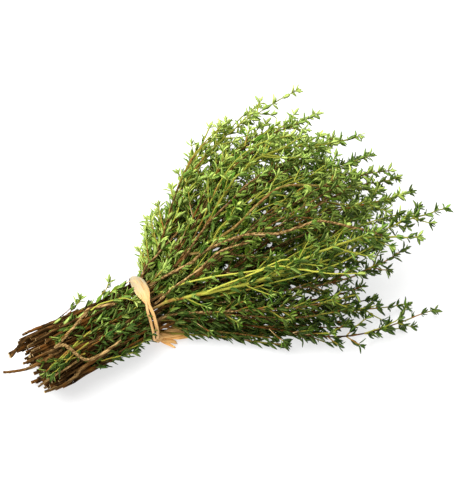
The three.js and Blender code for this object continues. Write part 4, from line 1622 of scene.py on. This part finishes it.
@dataclass(frozen=True)
class Studio:
    """A pale floor, soft light from above, and the camera at the photograph's angle."""

    azimuth: float = -36.0
    elevation: float = 50.0
    lens: float = 85.0
    distance: float = 0.62
    target: tuple[float, float, float] = (0.057, 0.005, 0.020)
    floor_size: float = 6.0
    pale: Colour = (0.34, 0.34, 0.34)
    floor_glow: float = 0.62

    def build(self) -> bpy.types.Object:
        """Sets up the scene round the bunch and returns the floor."""
        self.camera()
        self.lights()
        return self.floor()

    def camera(self) -> None:
        """The camera, aimed at the middle of the bunch."""
        data = bpy.data.cameras.new("camera")
        data.lens = self.lens
        data.sensor_width = 36.0
        data.clip_end = 50.0
        camera = in_scene("camera", data)
        azimuth, elevation = math.radians(self.azimuth), math.radians(self.elevation)
        back = Vector((math.sin(azimuth) * math.cos(elevation), -math.cos(azimuth) * math.cos(elevation),
                       math.sin(elevation)))
        camera.location = Vector(self.target) + back * self.distance
        camera.rotation_euler = back.to_track_quat("Z", "Y").to_euler()
        bpy.context.scene.camera = camera

    def lights(self) -> None:
        """A broad key light above the far side, a fill from the near side, and a pale sky."""
        world = bpy.data.worlds.new("studio")
        bpy.context.scene.world = world
        world.use_nodes = True
        backdrop = next(n for n in world.node_tree.nodes if n.type == "BACKGROUND")
        backdrop.inputs["Color"].default_value = (1.0, 1.0, 1.0, 1.0)
        backdrop.inputs["Strength"].default_value = 0.7
        for name, place, size, power in (
            ("key", (-0.16, 0.30, 0.82), 1.3, 21.0),
            ("fill", (-0.35, -0.75, 0.75), 0.9, 1.7),
        ):
            data = bpy.data.lights.new(name, "AREA")
            data.shape = "DISK"
            data.size = size
            data.energy = power
            lamp = in_scene(name, data)
            lamp.location = place
            aim = Vector(self.target) - Vector(place)
            lamp.rotation_euler = aim.to_track_quat("-Z", "Y").to_euler()
        view = bpy.context.scene.view_settings
        view.view_transform = "Standard"
        view.look = "None"
        view.exposure = 0.0

    def floor(self) -> bpy.types.Object:
        """A plain pale floor with a faint grain in its roughness."""
        half = 0.5 * self.floor_size
        mesh = bpy.data.meshes.new("floor")
        mesh.from_pydata([(-half, -half, 0), (half, -half, 0), (half, half, 0), (-half, half, 0)], [],
                         [(0, 1, 2, 3)])
        floor = in_scene("floor", mesh)
        material, graph, shader = new_material("pale_floor")
        rough = graph.math("MULTIPLY_ADD", graph.noise(30.0), 0.1, 0.75)
        graph.fill(shader, {"Base Color": self.pale, "Roughness": rough})
        shader.inputs["Emission Color"].default_value = (1.0, 1.0, 1.0, 1.0)
        shader.inputs["Emission Strength"].default_value = self.floor_glow
        mesh.materials.append(material)
        return floor


def main() -> None:
    """Builds every piece in order, hangs it on the frame and reports it."""
    logging.basicConfig(level=logging.INFO, format="%(name)s: %(message)s")
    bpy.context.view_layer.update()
    form, growth = BunchForm(), Growth()
    leaves = [LeafBlade().build(kind) for kind in LeafKind]
    tree = SprigTree(StemFinish().build(), LeafFinish().build(), leaves).build()
    maker = SprigMaker(tree)
    total = 0
    for number in range(form.sprigs):
        skeleton = SprigGrower(form, growth, form.plan(number)).grow()
        piece = maker.make(f"thyme_{number + 1:02d}", skeleton)
        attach(piece, "root")
        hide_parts(f"sprig_{number + 1:02d}")
        total += sum(len(face.vertices) - 2 for face in piece.data.polygons)
        log.info("%s has %d leaves and %d stems", piece.name, len(skeleton.seats), len(skeleton.lines))
    twigs = OuterTwigs(form, growth, maker).build()
    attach(twigs, "root")
    raffia = RaffiaTie(form, RaffiaFinish().build()).build()
    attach(raffia, "root")
    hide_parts("raffia_tie")
    log.info("sprigs have %d triangles in all", total)
    for leaf in leaves:
        bpy.data.objects.remove(leaf)
    bpy.data.node_groups.remove(tree)
    Studio().build()


if __name__ == "__main__":
    main()
